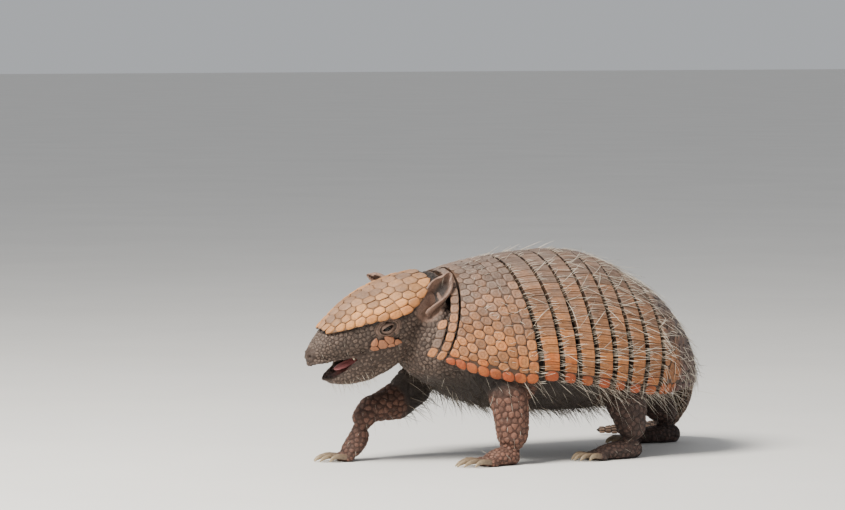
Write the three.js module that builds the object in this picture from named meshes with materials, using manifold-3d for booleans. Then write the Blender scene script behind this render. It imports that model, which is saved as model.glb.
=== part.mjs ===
// A six-banded armadillo, life size, walking: faceted solids in millimetres, +Z up.
// The head points to -X and the animal's left side to -Y. The floor is at Z = 0.
import * as THREE from 'three';
import { mergeVertices } from 'three/addons/utils/BufferGeometryUtils.js';
import Module from 'manifold-3d';

const wasm = await Module();
wasm.setup();

// ---------------------------------------------------------------- driving dimensions

const GAP = 0.3;                 // clearance between pieces that touch
const PLATE = 5;                 // thickness of a shell plate
const UNDER_PLATE = 1.4;         // from the inside of the shell to the flesh

// The shell is a row of upright hoops along X, then hoops that swing back about a pivot.
// A list of pairs gives a value at a few places, and a smooth curve joins them.
const MID_HEIGHT = 96;           // height of the widest line of the shell
const PIVOT = { x: 72, z: 20 };  // where the planes of the rump's hoops meet, seen from the side
const CROWN = [
  [-175, 146], [-145, 163], [-113, 175.5], [-86, 182], [-53, 187],
  [-12, 190], [10, 189.5], [32, 185.5], [53, 177.5], [72, 167],
];
const HALF_WIDTH = [[-175, 52], [-150, 61], [-118, 71], [-62, 83.5], [0, 87.5], [40, 87.5], [72, 85]];
const ARCH = 1.22;               // 1 gives oval hoops, more gives steeper roofs
const RUMP_RADIUS = [[0, 147], [10, 136.5], [22, 123], [35, 112], [47, 103], [57, 95.5], [66, 88]];
const RUMP_NARROWING = 0.33;     // share of the width lost by the last hoop
const RUMP_FIRST = 1.1;          // tilt of the pelvic shield's first hoop, degrees
const RUMP_LAST = 57;            // tilt of its last hoop, degrees
const SIDE_BEND = 9;             // how far the spine swings to +Y at either end
const MARGIN = [
  [-175, 106], [-150, 97], [-120, 84], [-90, 76], [-66, 73],
  [-50, 75], [0, 67.5], [45, 60], [80, 56.5], [110, 60], [150, 66],
];
const HOOP_LEAN = 13;            // how far a hoop's crown leans forward of its foot

const SCAPULAR_FRONT = -111;     // crown of the scapular shield's front edge
const SCAPULAR_REACH = 39;       // how much further forward that edge lies at the margin
const NUCHAL_PITCH = 10.5;       // from one nuchal band to the next
const NUCHAL_SIDE_START = 55;    // the outer nuchal rows are only on the flanks, from this angle down
const BAND_EDGES = [-62.5, -41.8, -23.8, -5, 14.6, 32.3, 52, 72];
const GAP_CROWN = 2.2;           // bare skin between two bands, on the back
const GAP_SIDE = 5.4;            // the same at the margin

// The flesh inside the shell; over is how far its rough form would rise past the waist.
const TRUNK = { from: -126, to: 142, belly: 41, waist: 92, halfWidth: 86, over: 135 };

const HEAD = {
  origin: [-136, 2, 172], length: 134, back: -8, yaw: 7, pitch: 28.5, roll: 12, waist: 0.45,
  top: [[-8, -5], [0, -2], [22, 4], [50, 7.5], [78, 7.5], [102, 3.5], [121, -3], [131, -7]],
  bottom: [[-8, -42], [30, -45], [58, -43], [86, -35], [108, -28], [131, -21.5]],
  halfWidth: [[-8, 24], [20, 33], [46, 36], [66, 32.5], [86, 24.5], [106, 17], [120, 13], [131, 11]],
};
const SHIELD = {
  back: 0, front: 110, thickness: 2.8, lift: 0.8,
  reach: [[0, 62], [40, 80], [70, 70], [110, 62]],
};
const EYE = { along: 61, side: 28.5, up: -14.5, radius: 6 };
const JAW = {
  path: [[28, -46], [58, -52], [88, -53], [110, -48], [124, -43]],
  halfWidth: [[0, 20], [0.3, 22], [0.6, 16], [0.85, 10.5], [1, 8]],
  halfHeight: [[0, 12], [0.3, 12], [0.6, 9.5], [0.85, 5.5], [1, 4.5]],
};
const TONGUE = { path: [[58, -42], [86, -41], [113, -38]], halfWidth: 7, halfHeight: 2.2 };
const EAR = { length: 39, wall: 2.4, root: 6.5, middle: 9.5, tip: 5 };
const EARS = {
  left: { base: [20, 31, -19], points: [0.46, -0.25, 0.83], opens: [-0.75, -0.6, 0.1] },
  right: { base: [17, -31, -21], points: [-0.42, 0.85, 0.25], opens: [-0.75, -0.2, -0.1] },
};
const NECK = {
  path: [[-96, 1, 108], [-126, 1, 112], [-158, 2, 112]],
  lateral: [[0, 46], [0.5, 44], [1, 31]],
  upright: [[0, 47], [0.5, 43], [1, 32]],
};
const TAIL = {
  path: [
    [126, 6, 84], [149, 13, 74], [169, 33, 57], [182, 62, 32],
    [182, 92, 11], [164, 120, 7], [138, 138, 5],
  ],
  radius: [[0, 13], [0.2, 10.5], [0.5, 8.2], [0.8, 5.6], [1, 2.6]],
  cuts: [0.3, 0.62],
};

// Each leg is a row of stations [x, y, z, half width fore and aft, half width sideways].
const LEGS = {
  front_left: {
    limb: [
      [-90, -44, 92, 22, 14], [-81, -58, 66, 19, 15], [-78, -62, 36, 16, 14.5],
      [-78, -62, 12, 15, 13.5],
    ],
    foot: {
      at: [-78, -62], heading: 184, length: 27, width: 14,
      height: 13, toe: 13, claw: 20, pitch: 0,
    },
  },
  front_right: {
    limb: [
      [-102, 42, 86, 25, 14], [-132, 46, 54, 19, 15], [-154, 42, 48, 14, 14],
      [-172, 39, 44, 12, 13], [-178, 38, 28, 11.5, 12.5],
    ],
    foot: {
      at: [-168, 38.5], heading: 176, length: 26, width: 13.5,
      height: 12, toe: 12, claw: 18, pitch: 62,
    },
  },
  hind_left: {
    limb: [
      [66, -42, 92, 30, 15], [44, -58, 64, 25, 16], [48, -62, 36, 16, 14],
      [52, -62, 16, 13, 12.5],
    ],
    foot: {
      at: [54, -62], heading: 186, length: 46, width: 14,
      height: 13, toe: 12, claw: 13, pitch: 0,
    },
  },
  hind_right: {
    limb: [
      [84, 40, 92, 30, 15], [116, 50, 66, 27, 16], [148, 50, 40, 18, 14],
      [166, 46, 20, 13, 12.5],
    ],
    foot: {
      at: [168, 46], heading: 172, length: 46, width: 14,
      height: 13, toe: 12, claw: 13, pitch: 0,
    },
  },
};
const TOES = 5;
const TOE_RADIUS = 4.7;
const CLAW_RADIUS = 2.7;

// ---------------------------------------------------------------- colours and finishes

const FINISH = {
  plate: { color: 0xb98a66, roughness: 0.6 },
  head_plate: { color: 0xd9a87c, roughness: 0.55 },
  skin: { color: 0x6e564a, roughness: 0.75 },
  leg: { color: 0x8c6252, roughness: 0.7 },
  claw: { color: 0xb49a6e, roughness: 0.4 },
  eye: { color: 0x0d0907, roughness: 0.05 },
  tongue: { color: 0xb5686a, roughness: 0.35 },
};

// ---------------------------------------------------------------- small helpers

const rad = THREE.MathUtils.degToRad;
const { lerp, clamp } = THREE.MathUtils;
const vec = (x = 0, y = 0, z = 0) => new THREE.Vector3(x, y, z);

// A smooth function through a few stations [position, value].
function smooth(stations, at) {
  const last = stations.length - 1;
  const slope = (i) => {
    const a = stations[Math.max(i - 1, 0)];
    const b = stations[Math.min(i + 1, last)];
    return (b[1] - a[1]) / (b[0] - a[0]);
  };
  if (at <= stations[0][0]) return stations[0][1];
  if (at >= stations[last][0]) return stations[last][1];
  let i = 0;
  while (at > stations[i + 1][0]) i += 1;
  const [x0, y0] = stations[i];
  const [x1, y1] = stations[i + 1];
  const width = x1 - x0;
  const t = (at - x0) / width;
  const s = 1 - t;
  return (1 + 2 * t) * s * s * y0 + t * s * s * width * slope(i)
    + t * t * (3 - 2 * t) * y1 - t * t * s * width * slope(i + 1);
}

// Moves every vertex of a closed primitive by a function and merges its seams.
function remap(geometry, place) {
  geometry.deleteAttribute('normal');
  geometry.deleteAttribute('uv');
  const position = geometry.attributes.position;
  for (let i = 0; i < position.count; i += 1) {
    const p = place(vec().fromBufferAttribute(position, i));
    position.setXYZ(i, p.x, p.y, p.z);
  }
  return mergeVertices(geometry, 1e-3);
}

function toSolid(geometry) {
  const index = geometry.index.array;
  const mesh = new wasm.Mesh({
    numProp: 3,
    vertProperties: new Float32Array(geometry.attributes.position.array),
    triVerts: new Uint32Array(index),
  });
  const solid = new wasm.Manifold(mesh);
  if (solid.volume() > 0) return solid;
  for (let i = 0; i < index.length; i += 3) {
    [index[i], index[i + 1]] = [index[i + 1], index[i]];
  }
  return toSolid(geometry);
}

function toGeometry(solid) {
  const mesh = solid.getMesh();
  const geometry = new THREE.BufferGeometry();
  geometry.setAttribute('position', new THREE.BufferAttribute(new Float32Array(mesh.vertProperties), 3));
  geometry.setIndex(new THREE.BufferAttribute(new Uint32Array(mesh.triVerts), 1));
  return geometry;
}

// A closed sheet over (u, v) in 0..1, from its outer face (depth 0) to its inner face (depth 1).
function sheet(alongSteps, acrossSteps, place) {
  const box = new THREE.BoxGeometry(1, 1, 1, alongSteps, acrossSteps, 1);
  return toSolid(remap(box, (p) => place(p.x + 0.5, p.y + 0.5, 0.5 - p.z)));
}

// A closed bag over (t, angle): t runs 0..1 from one pole to the other.
function bag(alongSteps, aroundSteps, place) {
  const ball = new THREE.SphereGeometry(1, aroundSteps, alongSteps);
  return toSolid(remap(ball, (p) => {
    const t = Math.acos(clamp(p.y, -1, 1)) / Math.PI;
    return place(t, Math.atan2(p.z, p.x));
  }));
}

// The place along a bag, and how much the section is drawn in near its ends.
function ends(t, bluntness) {
  const along = (1 - Math.cos(Math.PI * t)) / 2;
  const drawnIn = Math.sqrt(Math.max(0, 1 - Math.abs(2 * along - 1) ** bluntness));
  return { along, drawnIn };
}

// A limb along a smooth path, with an oval section; radii(s) gives [fore and aft, sideways].
function limb(points, radii, steps, around, bluntness, grow = 0) {
  const curve = new THREE.CatmullRomCurve3(points.map((p) => vec(...p.slice(0, 3))), false, 'centripetal');
  return bag(steps, around, (t, angle) => {
    const { along, drawnIn } = ends(t, bluntness);
    const direction = curve.getTangent(along);
    const fore = direction.clone().cross(vec(0, 1, 0)).normalize();
    const side = fore.clone().cross(direction).normalize();
    const [foreRadius, sideRadius] = radii(along);
    const stretch = grow * Math.cos(Math.PI * t);
    return curve.getPoint(along)
      .addScaledVector(fore, (foreRadius + grow) * drawnIn * Math.cos(angle))
      .addScaledVector(side, (sideRadius + grow) * drawnIn * Math.sin(angle))
      .addScaledVector(direction, -stretch);
  });
}

// The largest of a solid's separate pieces, so that a cut leaves no crumbs.
function mainPiece(solid) {
  return solid.decompose().reduce((a, b) => (a.volume() > b.volume() ? a : b));
}

const cut = (solid, ...others) => mainPiece(others.reduce((rest, other) => rest.subtract(other), solid));
const onFloor = (solid) => solid.trimByPlane([0, 0, 1], 0);

// ---------------------------------------------------------------- the shell's surface

const spineY = (x) => SIDE_BEND * (x / 140) ** 2;

// Height of a hoop's point over the pivot, as a share of the hoop's height; angle 0 is the crown.
function hoopShare(angle, crown) {
  const waist = (MID_HEIGHT - PIVOT.z) / (crown - PIVOT.z);
  const c = Math.cos(angle);
  return c > 0 ? waist + (1 - waist) * c ** ARCH : waist * (1 + c);
}

// The angle at which a hoop comes down to a given share of its height.
function angleOfShare(share, crown) {
  const waist = (MID_HEIGHT - PIVOT.z) / (crown - PIVOT.z);
  const c = share > waist ? ((share - waist) / (1 - waist)) ** (1 / ARCH) : share / waist - 1;
  return Math.acos(clamp(c, -1, 1));
}

// A point of an upright hoop that stands at x.
function hoopPoint(x, angle) {
  const crown = smooth(CROWN, x);
  const share = hoopShare(angle, crown);
  const y = spineY(x) + smooth(HALF_WIDTH, x) * Math.sin(angle);
  return vec(x, y, PIVOT.z + share * (crown - PIVOT.z));
}

// A point of a rump hoop that is swung back by tilt degrees.
function rumpPoint(tilt, angle) {
  const crown = smooth(CROWN, PIVOT.x);
  const reach = smooth(RUMP_RADIUS, tilt) * hoopShare(angle, crown);
  const narrowing = 1 - RUMP_NARROWING * (tilt / RUMP_LAST) ** 2;
  const x = PIVOT.x + Math.sin(rad(tilt)) * reach;
  const y = spineY(x) + smooth(HALF_WIDTH, PIVOT.x) * narrowing * Math.sin(angle);
  return vec(x, y, PIVOT.z + Math.cos(rad(tilt)) * reach);
}

// Where a hoop's foot ends, as an angle from the crown.
function marginAngle(x) {
  const crown = smooth(CROWN, x);
  return angleOfShare((smooth(MARGIN, x) - PIVOT.z) / (crown - PIVOT.z), crown);
}

function rumpMarginAngle(tilt) {
  const foot = smooth(MARGIN, PIVOT.x + 75 * Math.sin(rad(tilt)));
  const reach = smooth(RUMP_RADIUS, tilt) * Math.cos(rad(tilt));
  return angleOfShare((foot - PIVOT.z) / reach, smooth(CROWN, PIVOT.x));
}

// Moves a surface point inwards along its normal.
function inwards(surface, a, b, depth) {
  const step = 1e-3;
  const here = surface(a, b);
  const alongA = surface(a + step, b).sub(here);
  const alongB = surface(a, b + step).sub(here);
  const normal = alongA.cross(alongB).normalize();
  const outward = vec(here.x > PIVOT.x ? here.x - PIVOT.x : 0, here.y - spineY(here.x), here.z - 60);
  if (normal.dot(outward) < 0) normal.negate();
  return here.addScaledVector(normal, -depth);
}

// A plate between two edges of the upright part; each edge gives x at an angle from the crown.
// It covers the given sides, -1 the left and 1 the right, from a start angle down.
function uprightPlate(frontEdge, rearEdge, alongSteps, aroundSteps, options) {
  const { grow = 0, sides = [-1, 1], start = 0 } = options;
  return sheet(alongSteps, aroundSteps, (u, v, depth) => {
    const share = lerp(sides[0], sides[1], v);
    let x = 0;
    let angle = 0;
    for (let pass = 0; pass < 8; pass += 1) {
      x = lerp(frontEdge(angle) - grow, rearEdge(angle) + grow, u);
      const reach = marginAngle(x) + grow / 60 - rad(start);
      angle = share * reach + Math.sign(share) * rad(start);
    }
    return inwards(hoopPoint, x, angle, lerp(-grow, PLATE + grow, depth));
  });
}

function rumpPlate(alongSteps, aroundSteps, grow = 0) {
  return sheet(alongSteps, aroundSteps, (u, v, depth) => {
    const tilt = lerp(RUMP_FIRST, RUMP_LAST + grow / 2, u);
    const angle = (v * 2 - 1) * (rumpMarginAngle(tilt) + grow / 60);
    return inwards(rumpPoint, tilt, angle, lerp(-grow, PLATE + grow, depth));
  });
}

// Hoops lean forward, and less towards the rump, where they stand upright.
function lean(x, angle) {
  const share = clamp((PIVOT.x - x) / (PIVOT.x - SCAPULAR_FRONT), 0, 1);
  return HOOP_LEAN * share * (0.35 - Math.cos(angle) * 0.65);
}

const halfGap = (angle) => lerp(GAP_SIDE, GAP_CROWN, Math.max(Math.cos(angle), 0)) / 2;
const edgeAt = (x, side) => (angle) => x + lean(x, angle) + side * halfGap(angle);
const frontEdge = (shift) => (angle) => {
  const down = Math.min((1 - Math.cos(angle)) / 1.2, 1);
  return SCAPULAR_FRONT - shift - SCAPULAR_REACH * down;
};

const plates = {};
const platesGrown = {};
function addPlate(name, make) {
  plates[name] = make(0);
  platesGrown[name] = make(GAP);
}

function buildShell() {
  const front = frontEdge(0);
  const rear = edgeAt(BAND_EDGES[0], -1);
  addPlate('scapular_shield', (grow) => uprightPlate(front, rear, 5, 18, { grow }));
  const nuchalFront = frontEdge(NUCHAL_PITCH - 1.5);
  const nuchalRear = frontEdge(1.5);
  addPlate('nuchal_band', (grow) => uprightPlate(nuchalFront, nuchalRear, 1, 16, { grow }));
  const outerFront = frontEdge(2 * NUCHAL_PITCH - 2.5);
  const outerRear = frontEdge(NUCHAL_PITCH);
  const start = NUCHAL_SIDE_START;
  for (const [name, sides] of [['nuchal_row_left', [-1, -1e-4]], ['nuchal_row_right', [1e-4, 1]]]) {
    addPlate(name, (grow) => uprightPlate(outerFront, outerRear, 1, 5, { grow, sides, start }));
  }
  for (let i = 0; i < BAND_EDGES.length - 1; i += 1) {
    const bandFront = edgeAt(BAND_EDGES[i], 1);
    const bandRear = edgeAt(BAND_EDGES[i + 1], -1);
    addPlate(`band_${i + 1}`, (grow) => uprightPlate(bandFront, bandRear, 1, 18, { grow }));
  }
  addPlate('pelvic_shield', (grow) => rumpPlate(6, 16, grow));
}

// Everything inside the shell's surface, drawn in by a depth.
function envelope(depth) {
  const rumpShare = 0.42;
  const lastTilt = 86;
  const tube = new THREE.CylinderGeometry(1, 1, 1, 22, 14);
  return toSolid(remap(tube, (p) => {
    const t = p.y + 0.5;
    const radius = Math.hypot(p.x, p.z);
    const angle = Math.atan2(p.z, p.x);
    const upright = t < 1 - rumpShare;
    const x = lerp(TRUNK.from - 6, PIVOT.x, t / (1 - rumpShare));
    const tilt = Math.max(0, (t - 1 + rumpShare) / rumpShare) * lastTilt;
    const rim = upright ? inwards(hoopPoint, x, angle, depth) : inwards(rumpPoint, tilt, angle, depth);
    const middle = upright ? hoopPoint(x, Math.PI / 2) : rumpPoint(tilt, Math.PI / 2);
    middle.y = spineY(middle.x);
    return middle.lerp(rim, radius);
  }));
}

// ---------------------------------------------------------------- the trunk, neck and tail

function trunkSolid(grow) {
  const body = bag(10, 18, (t, angle) => {
    const { along } = ends(t, 2);
    const drawnIn = Math.sin(Math.PI * t) ** 0.62;
    const x = lerp(TRUNK.from - grow, TRUNK.to + grow, along);
    const c = Math.cos(angle) * drawnIn;
    const y = spineY(x) + (TRUNK.halfWidth + grow) * Math.sin(angle) * drawnIn;
    const height = c > 0 ? TRUNK.over : TRUNK.waist - TRUNK.belly;
    return vec(x, y, TRUNK.waist + (height + grow) * c);
  });
  return body.intersect(envelope(PLATE + UNDER_PLATE - grow));
}

function neckSolid(grow) {
  const radii = (s) => [smooth(NECK.upright, s), smooth(NECK.lateral, s)];
  return limb(NECK.path, radii, 5, 12, 5, grow);
}

function tailSolid(grow = 0) {
  const radii = (s) => [smooth(TAIL.radius, s), smooth(TAIL.radius, s)];
  return limb(TAIL.path, radii, 18, 8, 12, grow);
}

// The tail in lengths, cut square across its path.
function tailLengths(whole) {
  const curve = new THREE.CatmullRomCurve3(TAIL.path.map((p) => vec(...p)), false, 'centripetal');
  const pieces = [];
  let rest = whole;
  for (const cutAt of TAIL.cuts) {
    const normal = curve.getTangent(cutAt);
    const offset = normal.dot(curve.getPoint(cutAt));
    const n = [normal.x, normal.y, normal.z];
    const back = n.map((value) => -value);
    pieces.push(mainPiece(rest.trimByPlane(back, -offset + GAP / 2)));
    rest = rest.trimByPlane(n, offset + GAP / 2);
  }
  return [...pieces, mainPiece(rest)];
}

// ---------------------------------------------------------------- the head

const headAxes = (() => {
  const yaw = rad(HEAD.yaw);
  const pitch = rad(HEAD.pitch);
  const forward = vec(-Math.cos(yaw) * Math.cos(pitch), Math.sin(yaw) * Math.cos(pitch), -Math.sin(pitch));
  const level = vec(-Math.sin(yaw), -Math.cos(yaw), 0);
  const upright = forward.clone().cross(level);
  const left = level.clone().multiplyScalar(Math.cos(rad(HEAD.roll)))
    .addScaledVector(upright, -Math.sin(rad(HEAD.roll)));
  const up = forward.clone().cross(left);
  return { forward, left, up };
})();

// From head coordinates (along to the nose, to the left side, up) to the model's.
function headPoint(along, side, up) {
  return vec(...HEAD.origin)
    .addScaledVector(headAxes.forward, along)
    .addScaledVector(headAxes.left, side)
    .addScaledVector(headAxes.up, up);
}

const squared = (value, power) => Math.sign(value) * Math.abs(value) ** power;

// A point of the skull's surface; angle 0 is the crown and +90 degrees the left side.
function skullPoint(along, angle, grow = 0, drawnIn = 1) {
  const top = smooth(HEAD.top, along);
  const bottom = smooth(HEAD.bottom, along);
  const waist = lerp(top, bottom, HEAD.waist);
  const c = squared(Math.cos(angle), 0.86) * drawnIn;
  const s = squared(Math.sin(angle), 0.86) * drawnIn;
  const up = waist + (c > 0 ? top - waist + grow : waist - bottom + grow) * c;
  return headPoint(along, (smooth(HEAD.halfWidth, along) + grow) * s, up);
}

function skullSolid(grow = 0) {
  return bag(14, 16, (t, angle) => {
    const { along, drawnIn } = ends(t, 9);
    return skullPoint(lerp(HEAD.back - grow, HEAD.length + grow, along), angle, grow, drawnIn);
  });
}

function headShield(grow = 0) {
  return sheet(7, 10, (u, v, depth) => {
    const along = lerp(SHIELD.back - grow, SHIELD.front + grow, u);
    const corner = 1 - 0.5 * Math.abs(2 * u - 1) ** 5;
    const angle = (v * 2 - 1) * rad(smooth(SHIELD.reach, along) + 2 * grow) * corner;
    return skullPoint(along, angle, SHIELD.lift + lerp(SHIELD.thickness + grow, -grow, depth));
  });
}

// A piece along the head's middle line, given by head coordinates (along, up).
function headLimb(path, radii, steps, around, bluntness, grow = 0) {
  const points = path.map(([along, up]) => headPoint(along, 0, up).toArray());
  return limb(points, radii, steps, around, bluntness, grow);
}

function jawSolid(grow = 0) {
  return headLimb(JAW.path, (s) => [smooth(JAW.halfHeight, s), smooth(JAW.halfWidth, s)], 10, 14, 6, grow);
}

function tongueSolid(grow = 0) {
  return headLimb(TONGUE.path, () => [TONGUE.halfHeight, TONGUE.halfWidth], 6, 10, 4, grow);
}

function eyeSolid(side, grow = 0) {
  const centre = headPoint(EYE.along, side * EYE.side, EYE.up);
  const ball = new THREE.SphereGeometry(EYE.radius + grow, 9, 6);
  return toSolid(remap(ball, (p) => p.add(centre)));
}

// An ear is a rolled leaf: a tube at its root that opens towards a rounded tip.
function earSolid({ base, points, opens }, grow = 0) {
  const root = headPoint(...base);
  const axis = vec(...points).normalize();
  const open = vec(...opens).addScaledVector(axis, -axis.dot(vec(...opens))).normalize();
  const side = axis.clone().cross(open);
  return sheet(5, 7, (u, v, depth) => {
    const across = v * 2 - 1;
    const roll = rad(lerp(150, 62, u ** 0.8)) * across;
    const width = smooth([[0, EAR.root], [0.45, EAR.middle], [0.85, EAR.middle * 0.8], [1, EAR.tip]], u);
    const radius = width + grow - (EAR.wall + 2 * grow) * depth;
    const length = EAR.length * (u - 0.22 * across ** 2 * u ** 2);
    return root.clone()
      .addScaledVector(axis, length)
      .addScaledVector(open, -radius * Math.cos(roll))
      .addScaledVector(side, radius * Math.sin(roll));
  });
}

// ---------------------------------------------------------------- legs, feet and claws

function legSolid(stations, grow = 0) {
  const count = stations.length - 1;
  const along = (column) => stations.map((s, i) => [i / count, s[column]]);
  const fore = along(3);
  const side = along(4);
  return limb(stations, (s) => [smooth(fore, s), smooth(side, s)], 8, 11, 6, grow);
}

// From a foot's coordinates (ahead, to its left, up) to the model's. A pitched foot stands on its toes.
function footFrame({ at, heading, length, pitch }) {
  const ahead = vec(Math.cos(rad(heading)), Math.sin(rad(heading)), 0);
  const left = vec(-ahead.y, ahead.x, 0);
  return (a, b, c) => {
    const behindToes = Math.min(a - length * 0.75, 0);
    const x = a - behindToes + behindToes * Math.cos(rad(pitch));
    const z = c - behindToes * Math.sin(rad(pitch));
    return vec(at[0], at[1], 0).addScaledVector(ahead, x).addScaledVector(left, b).setZ(z);
  };
}

// Places of the toes across the foot, -1 to 1, with the middle ones longest.
const toeRow = Array.from({ length: TOES }, (_, i) => (2 * i) / (TOES - 1) - 1);
const toeLength = (across) => 1 - 0.32 * across ** 2;

function footSolid(foot, grow = 0) {
  const place = footFrame(foot);
  const palmPath = [[-6, 0, 8], [foot.length * 0.45, 0, 7], [foot.length, 0, 5]];
  const palm = limb(
    palmPath.map((p) => place(...p).toArray()),
    (s) => [lerp(foot.height * 0.85, 7, s), lerp(foot.width * 0.86, foot.width, s)], 5, 9, 5, grow,
  );
  const toes = toeRow.map((across) => {
    const start = place(foot.length - 6, across * (foot.width - 5), 3.9);
    const end = place(foot.length + foot.toe * toeLength(across) - 3, across * (foot.width - 2.5), 3);
    return limb([start.toArray(), end.toArray()], () => [TOE_RADIUS, TOE_RADIUS], 3, 6, 4, grow);
  });
  return mainPiece(onFloor(toes.reduce((all, toe) => all.add(toe), palm)));
}

function clawSolid(foot, across) {
  const place = footFrame(foot);
  const reach = foot.length + foot.toe * toeLength(across);
  const aside = across * (foot.width - 2.5);
  const size = foot.claw * toeLength(across);
  const path = [[-6, 3.6], [size * 0.4, 4.8], [size * 0.8, 3.2], [size, 0.9]];
  const points = path.map(([a, up]) => place(reach + a, aside * (1 + a / 90), up).toArray());
  const radii = (s) => [CLAW_RADIUS * (1 - 0.8 * s ** 1.6), CLAW_RADIUS * 0.82 * (1 - 0.85 * s ** 1.4)];
  return onFloor(limb(points, radii, 4, 5, 5));
}

// ---------------------------------------------------------------- the whole animal

const armadillo = new THREE.Group();

function add(name, finish, solid) {
  const material = new THREE.MeshStandardMaterial({ ...FINISH[finish], metalness: 0 });
  const mesh = new THREE.Mesh(toGeometry(solid), material);
  mesh.name = name;
  armadillo.add(mesh);
}

buildShell();
for (const [name, plate] of Object.entries(plates)) add(name, 'plate', plate);
const allPlatesGrown = Object.values(platesGrown);

const trunkGrown = trunkSolid(GAP);
const skullGrown = skullSolid(GAP).add(headShield(GAP));
const tail = cut(tailSolid(), trunkGrown, platesGrown.pelvic_shield);

add('trunk', 'skin', cut(trunkSolid(0), skullGrown));
add('head_shield', 'head_plate', headShield());
add('head', 'skin', cut(skullSolid(), eyeSolid(1, GAP), eyeSolid(-1, GAP), ...allPlatesGrown));
add('eye_left', 'eye', eyeSolid(1));
add('eye_right', 'eye', eyeSolid(-1));
add('lower_jaw', 'skin', cut(jawSolid(), skullGrown, ...allPlatesGrown));
add('tongue', 'tongue', cut(tongueSolid(), skullGrown, jawSolid(GAP)));
add('neck', 'skin', cut(neckSolid(0), trunkGrown, skullGrown, jawSolid(GAP), ...allPlatesGrown));
for (const [side, ear] of Object.entries(EARS)) {
  add(`ear_${side}`, 'skin', cut(earSolid(ear), skullGrown, neckSolid(GAP), ...allPlatesGrown));
}
tailLengths(tail).forEach((piece, i) => add(`tail_${i + 1}`, 'plate', piece));

for (const [name, { limb: stations, foot }] of Object.entries(LEGS)) {
  const footGrown = footSolid(foot, GAP);
  const around = [trunkGrown, footGrown, neckSolid(GAP), jawSolid(GAP), ...allPlatesGrown];
  add(`leg_${name}`, 'leg', cut(legSolid(stations), ...around));
  add(`foot_${name}`, 'leg', footSolid(foot));
  toeRow.forEach((across, i) => {
    add(`claw_${name}_${i + 1}`, 'claw', cut(clawSolid(foot, across), footGrown));
  });
}

// The origin is the middle of the animal's outline, on the floor.
const box = new THREE.Box3().setFromObject(armadillo, true);
armadillo.position.set(-(box.min.x + box.max.x) / 2, -(box.min.y + box.max.y) / 2, -box.min.z);

export default armadillo;
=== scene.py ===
"""Builds the looks of a life-size six-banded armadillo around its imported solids.

Sizes are millimetres in the animal's own drawing: the head points to -X, the left side to -Y
and the floor is at zero. Draft.build moves them to the frame, in metres.
"""

import logging
import math
from dataclasses import dataclass
from enum import Enum
from itertools import product
from typing import Callable, Sequence

import bpy
import numpy as np
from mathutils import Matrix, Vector
from mathutils.bvhtree import BVHTree
from mathutils.kdtree import KDTree


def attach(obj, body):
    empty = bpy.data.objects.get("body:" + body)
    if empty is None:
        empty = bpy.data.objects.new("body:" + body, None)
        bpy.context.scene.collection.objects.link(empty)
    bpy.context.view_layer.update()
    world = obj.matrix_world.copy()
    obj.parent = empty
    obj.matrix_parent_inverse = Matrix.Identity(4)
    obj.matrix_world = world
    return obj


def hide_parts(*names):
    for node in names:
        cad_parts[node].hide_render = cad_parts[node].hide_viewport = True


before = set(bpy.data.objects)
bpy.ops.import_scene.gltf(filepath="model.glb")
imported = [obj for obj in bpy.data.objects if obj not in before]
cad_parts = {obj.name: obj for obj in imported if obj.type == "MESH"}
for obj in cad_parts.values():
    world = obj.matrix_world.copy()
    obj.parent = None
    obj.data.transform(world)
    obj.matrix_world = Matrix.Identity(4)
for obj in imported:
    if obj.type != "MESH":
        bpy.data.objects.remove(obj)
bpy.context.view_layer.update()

log = logging.getLogger("armadillo")
Array = np.ndarray
Stations = Sequence[Sequence[float]]
Edge = Callable[[Array], Array]
Colour = tuple[float, float, float]

# ---- sizes shared with the solids

MM = 0.001
SHIFT = np.array([27.396, -25.194, 0.0])
PLATE = 5.0
MID_HEIGHT = 96.0
PIVOT_X, PIVOT_Z = 72.0, 20.0
CROWN = [
    (-175, 146), (-145, 163), (-113, 175.5), (-86, 182), (-53, 187),
    (-12, 190), (10, 189.5), (32, 185.5), (53, 177.5), (72, 167),
]
HALF_WIDTH = [(-175, 52), (-150, 61), (-118, 71), (-62, 83.5), (0, 87.5), (40, 87.5), (72, 85)]
ARCH = 1.22
RUMP_RADIUS = [(0, 147), (10, 136.5), (22, 123), (35, 112), (47, 103), (57, 95.5), (66, 88)]
RUMP_NARROWING = 0.33
RUMP_FIRST, RUMP_LAST = 1.1, 57.0
RUMP_PACE = 2.2
SIDE_BEND = 9.0
MARGIN = [
    (-175, 106), (-150, 97), (-120, 84), (-90, 76), (-66, 73),
    (-50, 75), (0, 67.5), (45, 60), (80, 56.5), (110, 60), (150, 66),
]
HOOP_LEAN = 13.0
SCAPULAR_FRONT, SCAPULAR_REACH = -111.0, 39.0
NUCHAL_PITCH = 10.5
NUCHAL_SIDE_START = math.radians(55)
BAND_EDGES = (-62.5, -41.8, -23.8, -5, 14.6, 32.3, 52, 72)
GAP_CROWN, GAP_SIDE = 2.2, 5.4

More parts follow.
